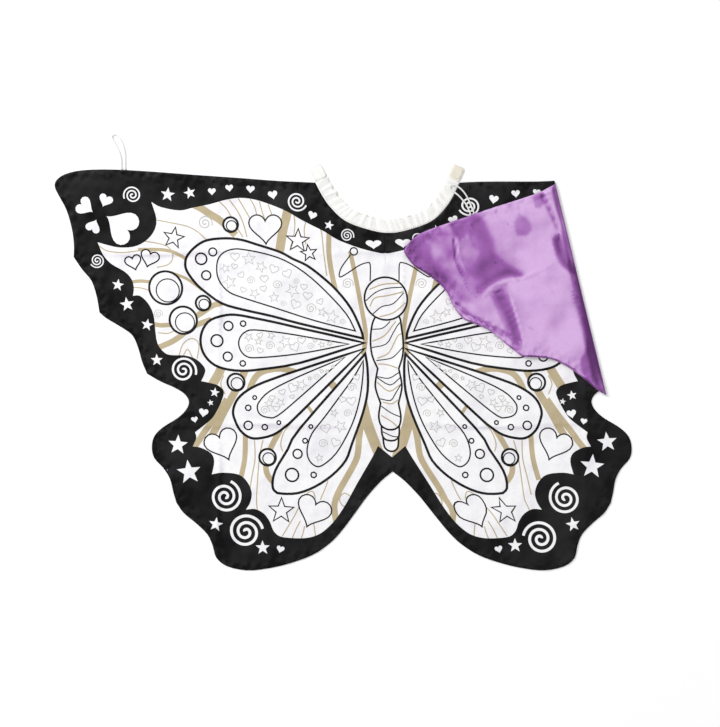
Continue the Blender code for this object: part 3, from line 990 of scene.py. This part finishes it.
def mixed(tree, factor, a, b, blend="MIX"):
    """A colour mix of two sockets or colours."""
    mix = tree.nodes.new("ShaderNodeMix")
    mix.data_type = "RGBA"
    mix.blend_type = blend
    for socket, value in ((mix.inputs[0], factor), (mix.inputs[6], a), (mix.inputs[7], b)):
        if isinstance(value, bpy.types.NodeSocket):
            tree.links.new(value, socket)
        else:
            socket.default_value = value if isinstance(value, float) else (*value, 1.0)
    return mix.outputs[2]


def ranged(tree, source, low, high, from_low=0.0, from_high=1.0):
    """A value carried from one range to another."""
    made = tree.nodes.new("ShaderNodeMapRange")
    tree.links.new(source, made.inputs["Value"])
    for name, value in (("From Min", from_low), ("From Max", from_high),
                        ("To Min", low), ("To Max", high)):
        made.inputs[name].default_value = value
    return made.outputs["Result"]


def combined(tree, operation, a, b, clamp=False):
    """Two values added or multiplied."""
    made = tree.nodes.new("ShaderNodeMath")
    made.operation = operation
    made.use_clamp = clamp
    tree.links.new(a, made.inputs[0])
    tree.links.new(b, made.inputs[1])
    return made.outputs[0]


def carried(tree, name):
    """A value that the mesh carries at its points."""
    made = tree.nodes.new("ShaderNodeAttribute")
    made.attribute_name = name
    return made.outputs["Fac"]


def coordinates(tree, kind="UV"):
    return tree.nodes.new("ShaderNodeTexCoord").outputs[kind]


def noise(tree, vector, scale, detail=3.0, roughness=0.55):
    made = node(tree, "ShaderNodeTexNoise", Scale=scale, Detail=detail,
                Roughness=roughness)
    tree.links.new(vector, made.inputs["Vector"])
    return made.outputs["Fac"]


def bands(tree, vector, per_metre, direction="X", distortion=0.0):
    """Fine threads: bands that repeat so many times a metre."""
    made = node(tree, "ShaderNodeTexWave", Scale=per_metre * 2 * math.pi / 20,
                Distortion=distortion)
    made.bands_direction = direction
    made.inputs["Detail"].default_value = 0.0
    tree.links.new(vector, made.inputs["Vector"])
    return made.outputs["Fac"]


def bumped(tree, shader, height, strength, distance):
    bump = node(tree, "ShaderNodeBump", Strength=strength, Distance=distance)
    tree.links.new(height, bump.inputs["Height"])
    tree.links.new(bump.outputs["Normal"], shader.inputs["Normal"])


def fresh(name):
    """A new material with its tree and shader."""
    mat = bpy.data.materials.new(name)
    mat.use_nodes = True
    tree = mat.node_tree
    return mat, tree, tree.nodes["Principled BSDF"]


def satin(name, lit_colour, shaded_colour, roughness, specular, sheen=0.0, mottle=0.25, middle=None,
          shift=0.0):
    """Satin: smooth threads one way, its colour mixed from lit and shaded copies by painted sheen
    and shade, with soft mottling.
    """
    mat, tree, shader = fresh(name)
    uv = coordinates(tree)
    clouds = noise(tree, uv, 14.0)
    fine = noise(tree, uv, 160.0, 2.0)
    # Mottling is random tone; with the black ink's shift it also paints soft highlight streaks.
    mottling = ranged(tree, clouds, shift - mottle, shift + mottle, 0.3, 0.7)
    painted_sheen = combined(tree, "ADD", carried(tree, "painted_sheen"), mottling, clamp=True)
    # Lit, half-lit and shaded copies of the colour, mixed by the painted sheen and shade.
    middle = middle or tuple((a + b) / 2 for a, b in zip(lit_colour, shaded_colour))
    lower = mixed(tree, ranged(tree, painted_sheen, 0.0, 1.0, 0.0, 0.5), shaded_colour, middle)
    base = mixed(tree, ranged(tree, painted_sheen, 0.0, 1.0, 0.5, 1.0), lower, lit_colour)
    base = mixed(tree, ranged(tree, fine, 0.0, 0.35, 0.4, 0.7), base, (0.87, 0.87, 0.87),
                 "MULTIPLY")
    tree.links.new(base, shader.inputs["Base Color"])
    tree.links.new(ranged(tree, clouds, roughness - 0.06, roughness + 0.08, 0.3, 0.7),
                   shader.inputs["Roughness"])
    warp = bands(tree, uv, 2600, "X", 1.5)
    weft = bands(tree, uv, 700, "DIAGONAL", 0.8)
    bumped(tree, shader, combined(tree, "ADD", warp, weft), 0.12, 0.0001)
    shader.inputs["Specular IOR Level"].default_value = specular
    shader.inputs["Anisotropic"].default_value = 0.5
    shader.inputs["Sheen Weight"].default_value = sheen
    shader.inputs["Sheen Roughness"].default_value = 0.4
    return mat


def woven(name, colour, shade, per_metre, roughness=0.85, bump=0.4, mapped="Object",
          speck=220.0, painted_shade=None):
    """Matt woven cloth or tape: crossing threads with a slightly uneven colour, and painted shade
    in its gathers when a shade colour for them is given.
    """
    mat, tree, shader = fresh(name)
    place = coordinates(tree, mapped)
    mottle = noise(tree, place, speck)
    broad = noise(tree, place, 45.0)
    base = mixed(tree, ranged(tree, broad, 0.0, 0.6, 0.35, 0.75), colour, shade)
    base = mixed(tree, ranged(tree, mottle, 0.0, 0.35, 0.4, 0.8), base, shade)
    if painted_shade:
        base = mixed(tree, carried(tree, "painted_pleat_shade"), base, painted_shade)
    tree.links.new(base, shader.inputs["Base Color"])
    tree.links.new(ranged(tree, mottle, roughness - 0.08, min(1.0, roughness + 0.08)),
                   shader.inputs["Roughness"])
    across = bands(tree, place, per_metre, "X", 0.6)
    along = bands(tree, place, per_metre, "Y", 0.6)
    bumped(tree, shader, combined(tree, "MULTIPLY", across, along), bump, 0.0003)
    shader.inputs["Sheen Weight"].default_value = 0.15
    shader.inputs["Specular IOR Level"].default_value = 0.25
    return mat


def make_materials():
    # Each satin's first two colours are its lit and shaded copies, mixed by painted sheen and
    # shade; the gathered cotton's last colour is the painted shade of its gathers.
    return {
        "black": satin("satin_black_ink", (0.027, 0.026, 0.028), (0.0022, 0.0021, 0.0023),
                       0.4, 0.12, 0.03, mottle=0.3, shift=-0.5),
        "white": satin("satin_white", (0.90, 0.895, 0.90), (0.58, 0.555, 0.64), 0.4, 0.2,
                       mottle=0.12),
        "tan": satin("satin_tan_ink", (0.50, 0.42, 0.27), (0.33, 0.26, 0.15), 0.42, 0.2),
        "grey": satin("satin_pale_ink", (0.50, 0.49, 0.46), (0.42, 0.41, 0.40), 0.42, 0.2),
        "purple": satin("satin_purple", (0.63, 0.40, 0.70), (0.10, 0.016, 0.13), 0.36, 0.35,
                        0.05, mottle=0.07, middle=(0.33, 0.115, 0.41)),
        "cotton": woven("plain_cotton", (0.90, 0.895, 0.865), (0.78, 0.77, 0.74), 1500),
        "gathered": woven("gathered_cotton", (0.91, 0.905, 0.875), (0.78, 0.77, 0.74), 1500,
                          painted_shade=(0.50, 0.49, 0.47)),
        "tab": woven("tab_cotton", (0.88, 0.86, 0.79), (0.80, 0.77, 0.68), 1300),
        "elastic": woven("braided_elastic", (0.86, 0.86, 0.85), (0.70, 0.70, 0.69), 900,
                         0.8, 0.7),
        "thread": woven("sewing_thread", (0.84, 0.83, 0.80), (0.70, 0.69, 0.65), 2500, 0.7),
        "hooks": woven("hook_tape", (0.84, 0.80, 0.70), (0.74, 0.69, 0.58), 800, 0.55),
        "loops": woven("loop_tape", (0.86, 0.85, 0.82), (0.72, 0.71, 0.68), 1100, 0.95, 0.8),
    }


# ---------------------------------------------------------------- building the cloth

LIGHT_FROM = np.array((-0.62, 0.58))  # the side that brightens the satin


def painted_sheen_of(flat, normals, layer):
    """Painted sheen and shade for the satin: 1 where it faces the lamp, 0 in its folds."""
    facing = normals * np.sign(normals[:, 2:3] + 1e-9)
    tilt = facing[:, :2] @ LIGHT_FROM
    slope = np.linalg.norm(facing[:, :2], axis=1)
    if layer == "front":
        # Painted highlight on slopes that face the light, painted shade on slopes that turn away
        # from it.
        return np.clip(0.86 + 3.4 * tilt - 1.6 * slope, 0, 1)
    over = RIGHT_FOLD.mirrored(flat)
    folded = ease((RIGHT_FOLD.beyond(flat) + 2) / 6)
    x, y = over[:, 0], over[:, 1]
    # Painted shade in the tip's fold hollows and in its shaded patches.
    painted_shade = (0.13 * tip_hollows(x, y) + tip_shade(x, y)) * folded
    left = ease((270 - x) / 60) * folded
    # Painted sheen that varies in soft clouds, more on the tip's left, and more gently over the
    # unfolded back.
    clouds = (0.07 + 0.1 * left) * ripple(x, y, 0.5, 80) + 0.06 * left * ripple(x, y, 0.2, 30)
    clouds = clouds * folded + 0.16 * ripple(x, y, 1.4, 50) * (1 - folded)
    # The folded tip's painted sheen is brighter than the unfolded back's.
    base = 0.74 + 0.23 * folded
    return np.clip(base + clouds + 0.9 * tilt - 0.6 * slope - painted_shade, 0, 1)


def placed(name, data):
    """A new object in the scene."""
    obj = bpy.data.objects.new(name, data)
    bpy.context.scene.collection.objects.link(obj)
    return obj


def tube_faces(start, rings, sides):
    """Faces between rings of points that follow each other, from that point on."""
    faces = []
    for row in range(start, start + (rings - 1) * sides, sides):
        for k in range(sides):
            n = (k + 1) % sides
            faces.append((row + k, row + n, row + sides + n, row + sides + k))
    return faces


def mesh_object(name, places, faces, mats):
    """A mesh object from points in millimetres of the row frame."""
    mesh = bpy.data.meshes.new(name)
    mesh.from_pydata((np.array(places) * MM).tolist(), [], [list(map(int, f)) for f in faces])
    for mat in mats:
        mesh.materials.append(mat)
    mesh.shade_smooth()
    return placed(name, mesh)


def cloth_piece(name, flat, triangles, inks, layer, mats):
    """One piece of a cloth layer, with its print, its texture coordinates and its painted sheen and
    shade.
    """
    used, faces = np.unique(triangles, return_inverse=True)
    faces = faces.reshape(-1, 3)
    flat = flat[used]
    a, b, c = flat[faces[:, 0]], flat[faces[:, 1]], flat[faces[:, 2]]
    ab, ac = b - a, c - a
    area = 0.5 * (ab[:, 0] * ac[:, 1] - ab[:, 1] * ac[:, 0])
    faces = np.where((area < 0)[:, None], faces[:, ::-1], faces)
    if layer == "back":
        faces = faces[:, ::-1]
    keep = np.abs(area) > 1e-4
    faces, inks = faces[keep], inks[keep]
    obj = mesh_object(name, laid_out(flat, layer), faces, mats)
    mesh = obj.data
    mesh.polygons.foreach_set("material_index", inks.astype(np.int32))
    uv = mesh.uv_layers.new(name="cloth")
    corners = np.empty(len(mesh.loops), np.int32)
    mesh.loops.foreach_get("vertex_index", corners)
    uv.data.foreach_set("uv", (flat[corners] * MM).astype(np.float32).ravel())
    normals = normals_of(flat, layer)
    # The painted sheen and shade that the satin's colour follows.
    painted_sheen = mesh.attributes.new("painted_sheen", "FLOAT", "POINT")
    painted_sheen.data.foreach_set("value", painted_sheen_of(flat, normals, layer).astype(np.float32))
    if layer == "back":
        normals = -normals
    mesh.normals_split_custom_set_from_vertices(normals.tolist())
    size = np.ptp(flat, axis=0) * MM
    declared = (float(size[0]), float(size[1]), float(np.abs(area).sum()) * MM * MM)
    return obj, declared


def blend_left(obj):
    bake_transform(obj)


def blend_middle(obj):
    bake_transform(obj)


def blend_right(obj):
    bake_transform(obj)


PIECES = (
    ("left", -1, blend_left, ("left_tip",)),
    ("middle", 0, blend_middle, ("left", "right")),
    ("right", 1, blend_right, ("right_tip",)),
)


def make_layer(layer, mats):
    """The printed front or the purple back, in three pieces."""
    flat, triangles, inks = triangulated(layer == "front")
    middle_x = pattern_x(flat[triangles].mean(axis=1))
    part = np.where(middle_x < -CUT_AT, -1, np.where(middle_x > CUT_AT, 1, 0))
    made = {}
    for name, which, join, panels in PIECES:
        chosen = part == which
        ink = inks[chosen] if layer == "front" else np.zeros(chosen.sum(), int)
        obj, size = cloth_piece(f"satin_{layer}_{name}", flat, triangles[chosen], ink, layer,
                                mats)
        join(obj)
        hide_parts(*[f"{layer}_panel_{panel}" for panel in panels])
        made[name] = (obj, size)
    return made


# ---------------------------------------------------------------- neck casing

SEAM_GAP = 0.3
CASING_HALF = 12.0
CASING_TOP = 3.7
CASING_MIDDLE = 2.1
STITCH_STEP = 3.4
STITCH_INSET = 2.5  # from the seam to the stitches along it
CASING_ROUND = 40  # points round its section
PLEAT = 15.0  # spacing of the gathers
NECK_STATION = 1.1  # spacing of the sections along the neckline


def run_between(ring, start, stop):
    """The part of a ring from the vertex nearest one place to that nearest another."""
    first = int(np.argmin(np.linalg.norm(ring - start, axis=1)))
    ring = np.roll(ring, -first, axis=0)
    last = int(np.argmin(np.linalg.norm(ring - stop, axis=1)))
    return ring[:last + 1]


def tab_joint(side):
    """A neck tab's base at the casing's end, the way across it and the way out."""
    joint = JOINTS["right_tab_fold" if side > 0 else "left_tab_fold"]
    base = np.array(joint["pos_m"][:2]) / MM
    axis = np.array(joint["axis"][:2])
    out = np.array((-axis[1], axis[0]))
    out = out * np.sign(out[1])
    across = side * np.array((-out[1], out[0]))
    return base, across, out


def neckline():
    """The neckline from the right shoulder to the left one, with the neck on its right."""
    crease_top = max((p for p in RINGS["right"] if abs(pattern_x(p[None])[0]) < 0.05),
                     key=lambda p: p[1])
    shoulders = []
    for side in (1, -1):
        base, across, out = tab_joint(side)
        shoulders.append(base - across * (CASING_HALF + SEAM_GAP))
    right = run_between(RINGS["right"], shoulders[0], crease_top)
    left = run_between(RINGS["left"], crease_top, shoulders[1])
    line = np.vstack((right, left[1:]))
    steps = np.linalg.norm(np.diff(line, axis=0), axis=1)
    line = line[np.append(True, steps > 0.5)]
    return smooth(line, 5)


def resampled(line, step):
    """The same line with even steps, and the distance along it."""
    reach = np.append(0, np.cumsum(np.linalg.norm(np.diff(line, axis=0), axis=1)))
    along = np.linspace(0, reach[-1], int(reach[-1] / step) + 1)
    return np.column_stack([np.interp(along, reach, line[:, k]) for k in (0, 1)]), along


def gathers(along, across):
    """Pleats of the casing: height between -1 and 1, and strongest away from the seam."""
    lean = along + 0.5 * across * np.sin(along / 33) + 6.0 * np.sin(along / 21)
    lean = lean + 3.1 * np.sin(along / 8.3 + 0.6)
    wave = np.sin(2 * np.pi * lean / PLEAT)
    swell = 0.7 + 0.3 * np.sin(along / 17 + 2.0)
    fine = np.sin(2 * np.pi * (along - 0.6 * across) / (PLEAT * 0.31) + 1.3)
    return swell * wave + 0.16 * fine * np.sin(along / 11)


def casing_section(line, normals, along, index, turn, total):
    """A point of the casing's tube at one station and angle round its section."""
    a = -math.cos(turn)
    b = math.sin(turn)
    end = min(1.0, min(along[index], total - along[index]) / 5.0 + 0.5)
    flat_a = math.copysign(abs(a) ** 0.55, a) * CASING_HALF
    free = ease(np.array((flat_a + CASING_HALF) / 7.0))
    pleat = float(gathers(along[index], flat_a)) * float(free)
    frill = (0.7 * math.sin(along[index] / 4.7 + 1.0) + 1.1 * pleat) * ease((a - 0.1) / 0.9)
    away = CASING_HALF + SEAM_GAP + flat_a + frill
    half = (CASING_TOP - 0.2) / 2
    lift = math.copysign(abs(b) ** 0.7, b)
    z = CASING_MIDDLE + lift * (half + (1.05 * pleat - 0.35 if b > 0 else 0.15 * pleat)) * end
    return (*(line[index] + normals[index] * away), max(0.15, z))


def paint_pleat_shade(along, turns):
    """Painted shade for the casing's gathers: how far into a gather each point lies, from 0 to 1.
    """
    depths = []
    for s in along:
        across = CASING_HALF * -np.cos(turns)
        pleat = gathers(s, across) + 0.4 * math.sin(s / 13 + 0.8)
        shelter = ease((across + CASING_HALF) / 9) * (np.sin(turns) > -0.2)
        depths.append(ease((-pleat - 0.15) / 0.9) * shelter * 0.75)
    return np.concatenate(depths).astype(np.float32)


def make_casing(mats):
    """The gathered casing: a flat tube of cotton sewn along the neckline."""
    line, along = resampled(neckline(), NECK_STATION)
    ahead = np.gradient(line, axis=0)
    ahead = ahead / np.linalg.norm(ahead, axis=1)[:, None]
    for _ in range(12):
        ahead[1:-1] = (ahead[:-2] + ahead[1:-1] + ahead[2:]) / 3
    ahead = ahead / np.linalg.norm(ahead, axis=1)[:, None]
    normals = np.column_stack((ahead[:, 1], -ahead[:, 0]))
    turns = np.linspace(0, 2 * math.pi, CASING_ROUND, endpoint=False)
    places = []
    for i in range(len(line)):
        for turn in turns:
            places.append(casing_section(line, normals, along, i, turn, along[-1]))
    faces = tube_faces(0, len(line), len(turns))
    obj = mesh_object("gathered_neck_casing", places, faces, [mats["gathered"]])
    # Painted shade in the gathers, which the cotton's colour follows.
    painted_pleat_shade = obj.data.attributes.new("painted_pleat_shade", "FLOAT", "POINT")
    painted_pleat_shade.data.foreach_set("value", paint_pleat_shade(along, turns))
    blend_middle(obj)
    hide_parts("neck_casing_left", "neck_casing_right")
    return line, normals, along


def stitches(name, body, node_name, marks, mats, length=2.3, radius=0.28):
    """A row of sewn stitches, each a short thread that dips into the cloth at its ends."""
    places, faces = [], []
    sides = 6
    for place, way in marks:
        side = np.array((-way[1], way[0], 0.0))
        start = len(places)
        for t in np.linspace(-1, 1, 7):
            swell = radius * math.sqrt(max(0.0, 1 - t ** 6)) + 0.02
            centre = place + np.array((*way, 0.0)) * t * length / 2
            centre = centre + np.array((0, 0, 0.18 * (1 - t * t) - 0.1))
            for k in range(sides):
                angle = 2 * math.pi * k / sides
                places.append(centre + swell * (side * math.cos(angle)
                                                + np.array((0, 0, math.sin(angle)))))
        faces += tube_faces(start, 7, sides)
        faces.append(tuple(range(start + sides - 1, start - 1, -1)))
        faces.append(tuple(range(start + 6 * sides, start + 7 * sides)))
    obj = mesh_object(name, places, faces, [mats["thread"]])
    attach(obj, body)
    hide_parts(node_name)


def make_neck_stitches(line, normals, along, mats):
    """Stitches that sew the casing to the neckline, in the flat band along its seam."""
    marks = {1: [], -1: []}
    for s in np.arange(4, along[-1] - 4, STITCH_STEP):
        i = int(np.argmin(np.abs(along - s)))
        place = line[i] + normals[i] * (SEAM_GAP + STITCH_INSET)
        side = 1 if pattern_x(place[None])[0] > 0 else -1
        if abs(pattern_x(place[None])[0]) < 3:
            continue
        way = np.array((-normals[i][1], normals[i][0]))
        marks[side].append((np.array((*place, CASING_TOP + 0.35)), way))
    stitches("neck_stitches_right", "right_wing", "neck_stitching_right", marks[1], mats)
    stitches("neck_stitches_left", "left_wing", "neck_stitching_left", marks[-1], mats)


# ---------------------------------------------------------------- neck tabs


def extent(node_name, base, way):
    """How far a node reaches along a way, from a base point, in millimetres."""
    values = [(np.array(v.co[:2]) / MM - base) @ way
              for v in frame["nodes"][node_name].data.vertices]
    return min(values), max(values)


def soft_plate(name, base, out, across, along, half, low, high, mats, corner=0.16, top=None):
    """A thin sewn pad with rounded corners, closed along its edge."""
    count = 26
    grid = np.linspace(-1, 1, count)
    grid = np.sign(grid) * np.abs(grid) ** 0.8
    middle, reach = (along[0] + along[1]) / 2, (along[1] - along[0]) / 2
    places, faces = [], []
    for layer in (0, 1):
        for u in grid:
            for v in grid:
                pull = 1 - corner * (u * v) ** 4
                edge = max(u, abs(v))
                rise = math.sqrt(max(0.0, 1 - edge ** 10))
                x, y = middle + u * pull * reach, v * pull * half
                z_mid = (low + high) / 2
                z = z_mid + (high - z_mid if layer else low - z_mid) * (0.25 + 0.75 * rise)
                if layer and top:
                    z += top(x, y) * rise
                places.append((*(base + out * x + across * y), z))
    for layer in (0, 1):
        start = layer * count * count
        for i in range(count - 1):
            for j in range(count - 1):
                a = start + i * count + j
                quad = (a, a + count, a + count + 1, a + 1)
                faces.append(quad if layer else quad[::-1])
    rim = [i * count for i in range(count)]
    rim += [(count - 1) * count + j for j in range(1, count)]
    rim += [i * count + count - 1 for i in range(count - 2, -1, -1)]
    rim += list(range(count - 2, 0, -1))
    size = count * count
    for a, b in zip(rim, rim[1:] + rim[:1]):
        faces.append((a, b, b + size, a + size))
    obj = mesh_object(name, places, faces, mats)
    fix_outward(obj)
    return obj


def fix_outward(obj):
    """Point every face of a closed piece outwards."""
    bm = bmesh.new()
    bm.from_mesh(obj.data)
    bmesh.ops.recalc_face_normals(bm, faces=bm.faces)
    bm.to_mesh(obj.data)
    bm.free()


def hook_rows(base, out, across, along, half, z):
    """Small bent hooks in rows over the hook patch."""
    places, faces = [], []
    for i, x in enumerate(np.arange(along[0] + 1.4, along[1] - 1.2, 1.5)):
        for j, y in enumerate(np.arange(-half + 1.4, half - 1.2, 1.3)):
            lean = 0.25 * math.sin(1.7 * i + 2.3 * j)
            root = base + out * x + across * (y + lean)
            start = len(places)
            for t in (0.0, 0.45, 0.8, 1.0):
                bend = 0.5 * max(0.0, t - 0.4) ** 1.2 * 2
                centre = root + out * bend
                height = z + 0.8 * math.sin(t * 1.75)
                for dx, dy in ((-0.13, -0.13), (0.13, -0.13), (0.13, 0.13), (-0.13, 0.13)):
                    places.append((*(centre + out * dx + across * dy), height))
            faces += tube_faces(start, 4, 4)
            faces.append((start + 12, start + 13, start + 14, start + 15))
    return places, faces


def light_crumple(x, y):
    return 0.1 * math.sin(x / 3.1 + y / 2.7) - 0.15


def deep_crumple(x, y):
    return 0.25 * math.sin(x / 2.1 + y / 3.7) + 0.2 * math.sin(y / 1.9 + 1)


# The tabs, by side: name, patch, the patch's look and slot, the cloth's look and crumple.
TABS = {
    1: ("right", "hook_patch", "hooks", "cream_hook_tape", "tab", light_crumple),
    -1: ("left", "loop_patch", "loops", "white_loop_tape", "cotton", deep_crumple),
}


def make_tab(side, mats):
    """A neck tab with its patch, and the stitches that hold the patch on."""
    name, patch_node, kind, patch_slot, cloth, crumple = TABS[side]
    body = name + "_neck_tab"
    base, across, out = tab_joint(side)
    tab_node = "neck_tab_" + name
    low, high = (corner.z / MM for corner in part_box(tab_node))
    reach = extent(tab_node, base, out)
    half = extent(tab_node, base, across)[1]
    tab = soft_plate("neck_tab_cloth_" + name, base, out, across, reach, half, low, high,
                     [mats[cloth]], top=crumple)
    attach(tab, body)
    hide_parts(tab_node)
    patch_low, patch_high = (corner.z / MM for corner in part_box(patch_node))
    patch_reach = extent(patch_node, base, out)
    patch_half = extent(patch_node, base, across)[1]
    patch = soft_plate(patch_node + "_tape", base, out, across, patch_reach, patch_half,
                       patch_low, patch_high, [mats[kind]], corner=0.1)
    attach(patch, body)
    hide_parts(patch_node)
    if kind == "hooks":
        places, faces = hook_rows(base, out, across, patch_reach, patch_half, patch_high)
        hooks = mesh_object("hook_patch_hooks", places, faces, [mats["hooks"]])
        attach(hooks, body)
    thread_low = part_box("tab_stitching_" + name)[0].z / MM
    marks = tab_marks(side, base, out, across, thread_low + 0.2)
    stitches("tab_stitches_" + name, body, "tab_stitching_" + name, marks, mats, 1.9, 0.24)


def tab_marks(side, base, out, across, z):
    """Where the stitches round a tab's patch lie."""
    name = "tab_stitching_" + ("right" if side > 0 else "left")
    low, high = extent(name, base, out)
    half = extent(name, base, across)[1] - 0.4
    low, high = low + 0.4, high - 0.4
    corners = ((low, -half), (high, -half), (high, half), (low, half))
    marks = []
    for a, b in zip(corners, corners[1:] + corners[:1]):
        a, b = np.array(a), np.array(b)
        length = np.linalg.norm(b - a)
        way = (b - a) / length
        for s in np.arange(1.4, length - 1.0, 2.6):
            x, y = a + way * s
            place = base + out * x + across * y
            marks.append((np.array((*place, z)), out * way[0] + across * way[1]))
    return marks


# ---------------------------------------------------------------- finger loops

# The loops' centre lines: along the tip's edge and out from it, as in the model.
LOOP_ROUTE = ((3.2, 0), (4.8, 20), (10.9, 37), (18.8, 50), (22.6, 57), (17.6, 62),
              (10.0, 57), (3.0, 46), (-1.4, 31), (-2.6, 14), (-3.2, 0))
LOOP_START = 0.8  # from the edge to the cord's ends
LOOP_HINGE = 2.2  # from the edge to the loop's hinge
LOOP_RADIUS = 1.4
LOOP_SINK = 12.0  # distance out over which the right loop comes down to the panel
LOOP_CLIMB = (30.0, 44.0)  # distance out where the right loop climbs onto the casing
LOOP_LIES_Z = 1.45
LOOP_OVER_PANEL_Z = 4.1
LOOP_OVER_CASING_Z = 6.9


def loop_height(away, base, folded):
    """Height of a loop's centre line, that far from the edge it is sewn into."""
    if not folded:
        return LOOP_LIES_Z
    low = base + (LOOP_OVER_PANEL_Z - base) * min(1.0, away / LOOP_SINK)
    climb = float(ease(np.array((away - LOOP_CLIMB[0]) / (LOOP_CLIMB[1] - LOOP_CLIMB[0]))))
    return low + (LOOP_OVER_CASING_Z - low) * climb


def make_finger_loop(name, folded, mats):
    """A loop of round elastic, both of whose ends are sewn into the tip's edge."""
    joint = JOINTS[name + "_loop_swing"]
    edge = -np.array(joint["axis"][:2])
    outward = np.array((edge[1], -edge[0]))
    if outward[1] < 0:
        outward = -outward
    hinge = np.array(joint["pos_m"]) / MM
    foot = hinge[:2] - outward * LOOP_HINGE
    places = []
    for along, away in smooth(LOOP_ROUTE, 3):
        away = max(away, LOOP_START)
        flat = foot + edge * along + outward * away
        places.append((*flat, loop_height(away, hinge[2], folded)))
    places = np.array(places) * MM
    data = bpy.data.curves.new("finger_loop_elastic_" + name, "CURVE")
    data.dimensions = "3D"
    data.bevel_depth = LOOP_RADIUS * MM
    data.bevel_resolution = 5
    data.use_fill_caps = True
    spline = data.splines.new("POLY")
    spline.points.add(len(places) - 1)
    for knot, place in zip(spline.points, places):
        knot.co = (*place, 1.0)
    spline.use_smooth = True
    data.materials.append(mats["elastic"])
    obj = placed("finger_loop_elastic_" + name, data)
    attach(obj, name + "_finger_loop")
    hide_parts("finger_loop_" + name)


def finish_elastic(mats):
    """The elastic inside the casing keeps its solids and gets its material."""
    for name in ("neck_elastic_left", "neck_elastic_right"):
        mesh = frame["nodes"][name].data
        for index in range(len(mesh.materials)):
            mesh.materials[index] = mats["elastic"]


# ---------------------------------------------------------------- studio

VIEW_MIDDLE = (0.0297, -0.0188)
VIEW_HEIGHT = 3.02
FLOOR_HALF = 12000
FLOOR_Z = -0.3


def make_floor():
    mat, tree, shader = fresh("paper_floor")
    place = coordinates(tree, "Object")
    grain = noise(tree, place, 90.0)
    base = mixed(tree, ranged(tree, grain, 0.0, 0.02), (0.97, 0.97, 0.97), (0.93, 0.93, 0.93))
    tree.links.new(base, shader.inputs["Base Color"])
    shader.inputs["Roughness"].default_value = 0.9
    shader.inputs["Specular IOR Level"].default_value = 0.1
    corners = [(x * FLOOR_HALF, y * FLOOR_HALF, FLOOR_Z)
               for x, y in ((-1, -1), (1, -1), (1, 1), (-1, 1))]
    obj = mesh_object("floor", corners, ((0, 1, 2, 3),), [mat])


def area_light(name, place, size, power, target=(0, 0, 0)):
    data = bpy.data.lights.new(name, "AREA")
    data.shape = "SQUARE"
    data.size = size
    data.energy = power
    obj = placed(name, data)
    obj.location = place
    way = Vector(target) - Vector(place)
    obj.rotation_euler = way.to_track_quat("-Z", "Y").to_euler()


def make_studio():
    make_floor()
    area_light("key_light", (-2.2, 1.9, 2.3), 1.6, 105)
    area_light("fill_light", (2.4, -1.8, 2.8), 2.6, 38)
    world = bpy.data.worlds.new("studio")
    world.use_nodes = True
    shader = world.node_tree.nodes["Background"]
    shader.inputs["Color"].default_value = (1.0, 1.0, 1.0, 1.0)
    shader.inputs["Strength"].default_value = 0.55
    bpy.context.scene.world = world
    data = bpy.data.cameras.new("camera")
    data.lens = 85
    data.sensor_width = 36
    camera = placed("camera", data)
    camera.location = (*VIEW_MIDDLE, VIEW_HEIGHT)
    bpy.context.scene.camera = camera
    bpy.context.scene.view_settings.view_transform = "Standard"


def build():
    mats = make_materials()
    make_studio()
    make_finger_loop("right", True, mats)
    make_finger_loop("left", False, mats)
    draw_print()
    inks = [mats[name] for name in ("black", "white", "tan", "grey")]
    fronts = make_layer("front", inks)
    backs = make_layer("back", [mats["purple"]])
    line, normals, along = make_casing(mats)
    make_neck_stitches(line, normals, along, mats)
    make_tab(1, mats)
    make_tab(-1, mats)
    finish_elastic(mats)


build()
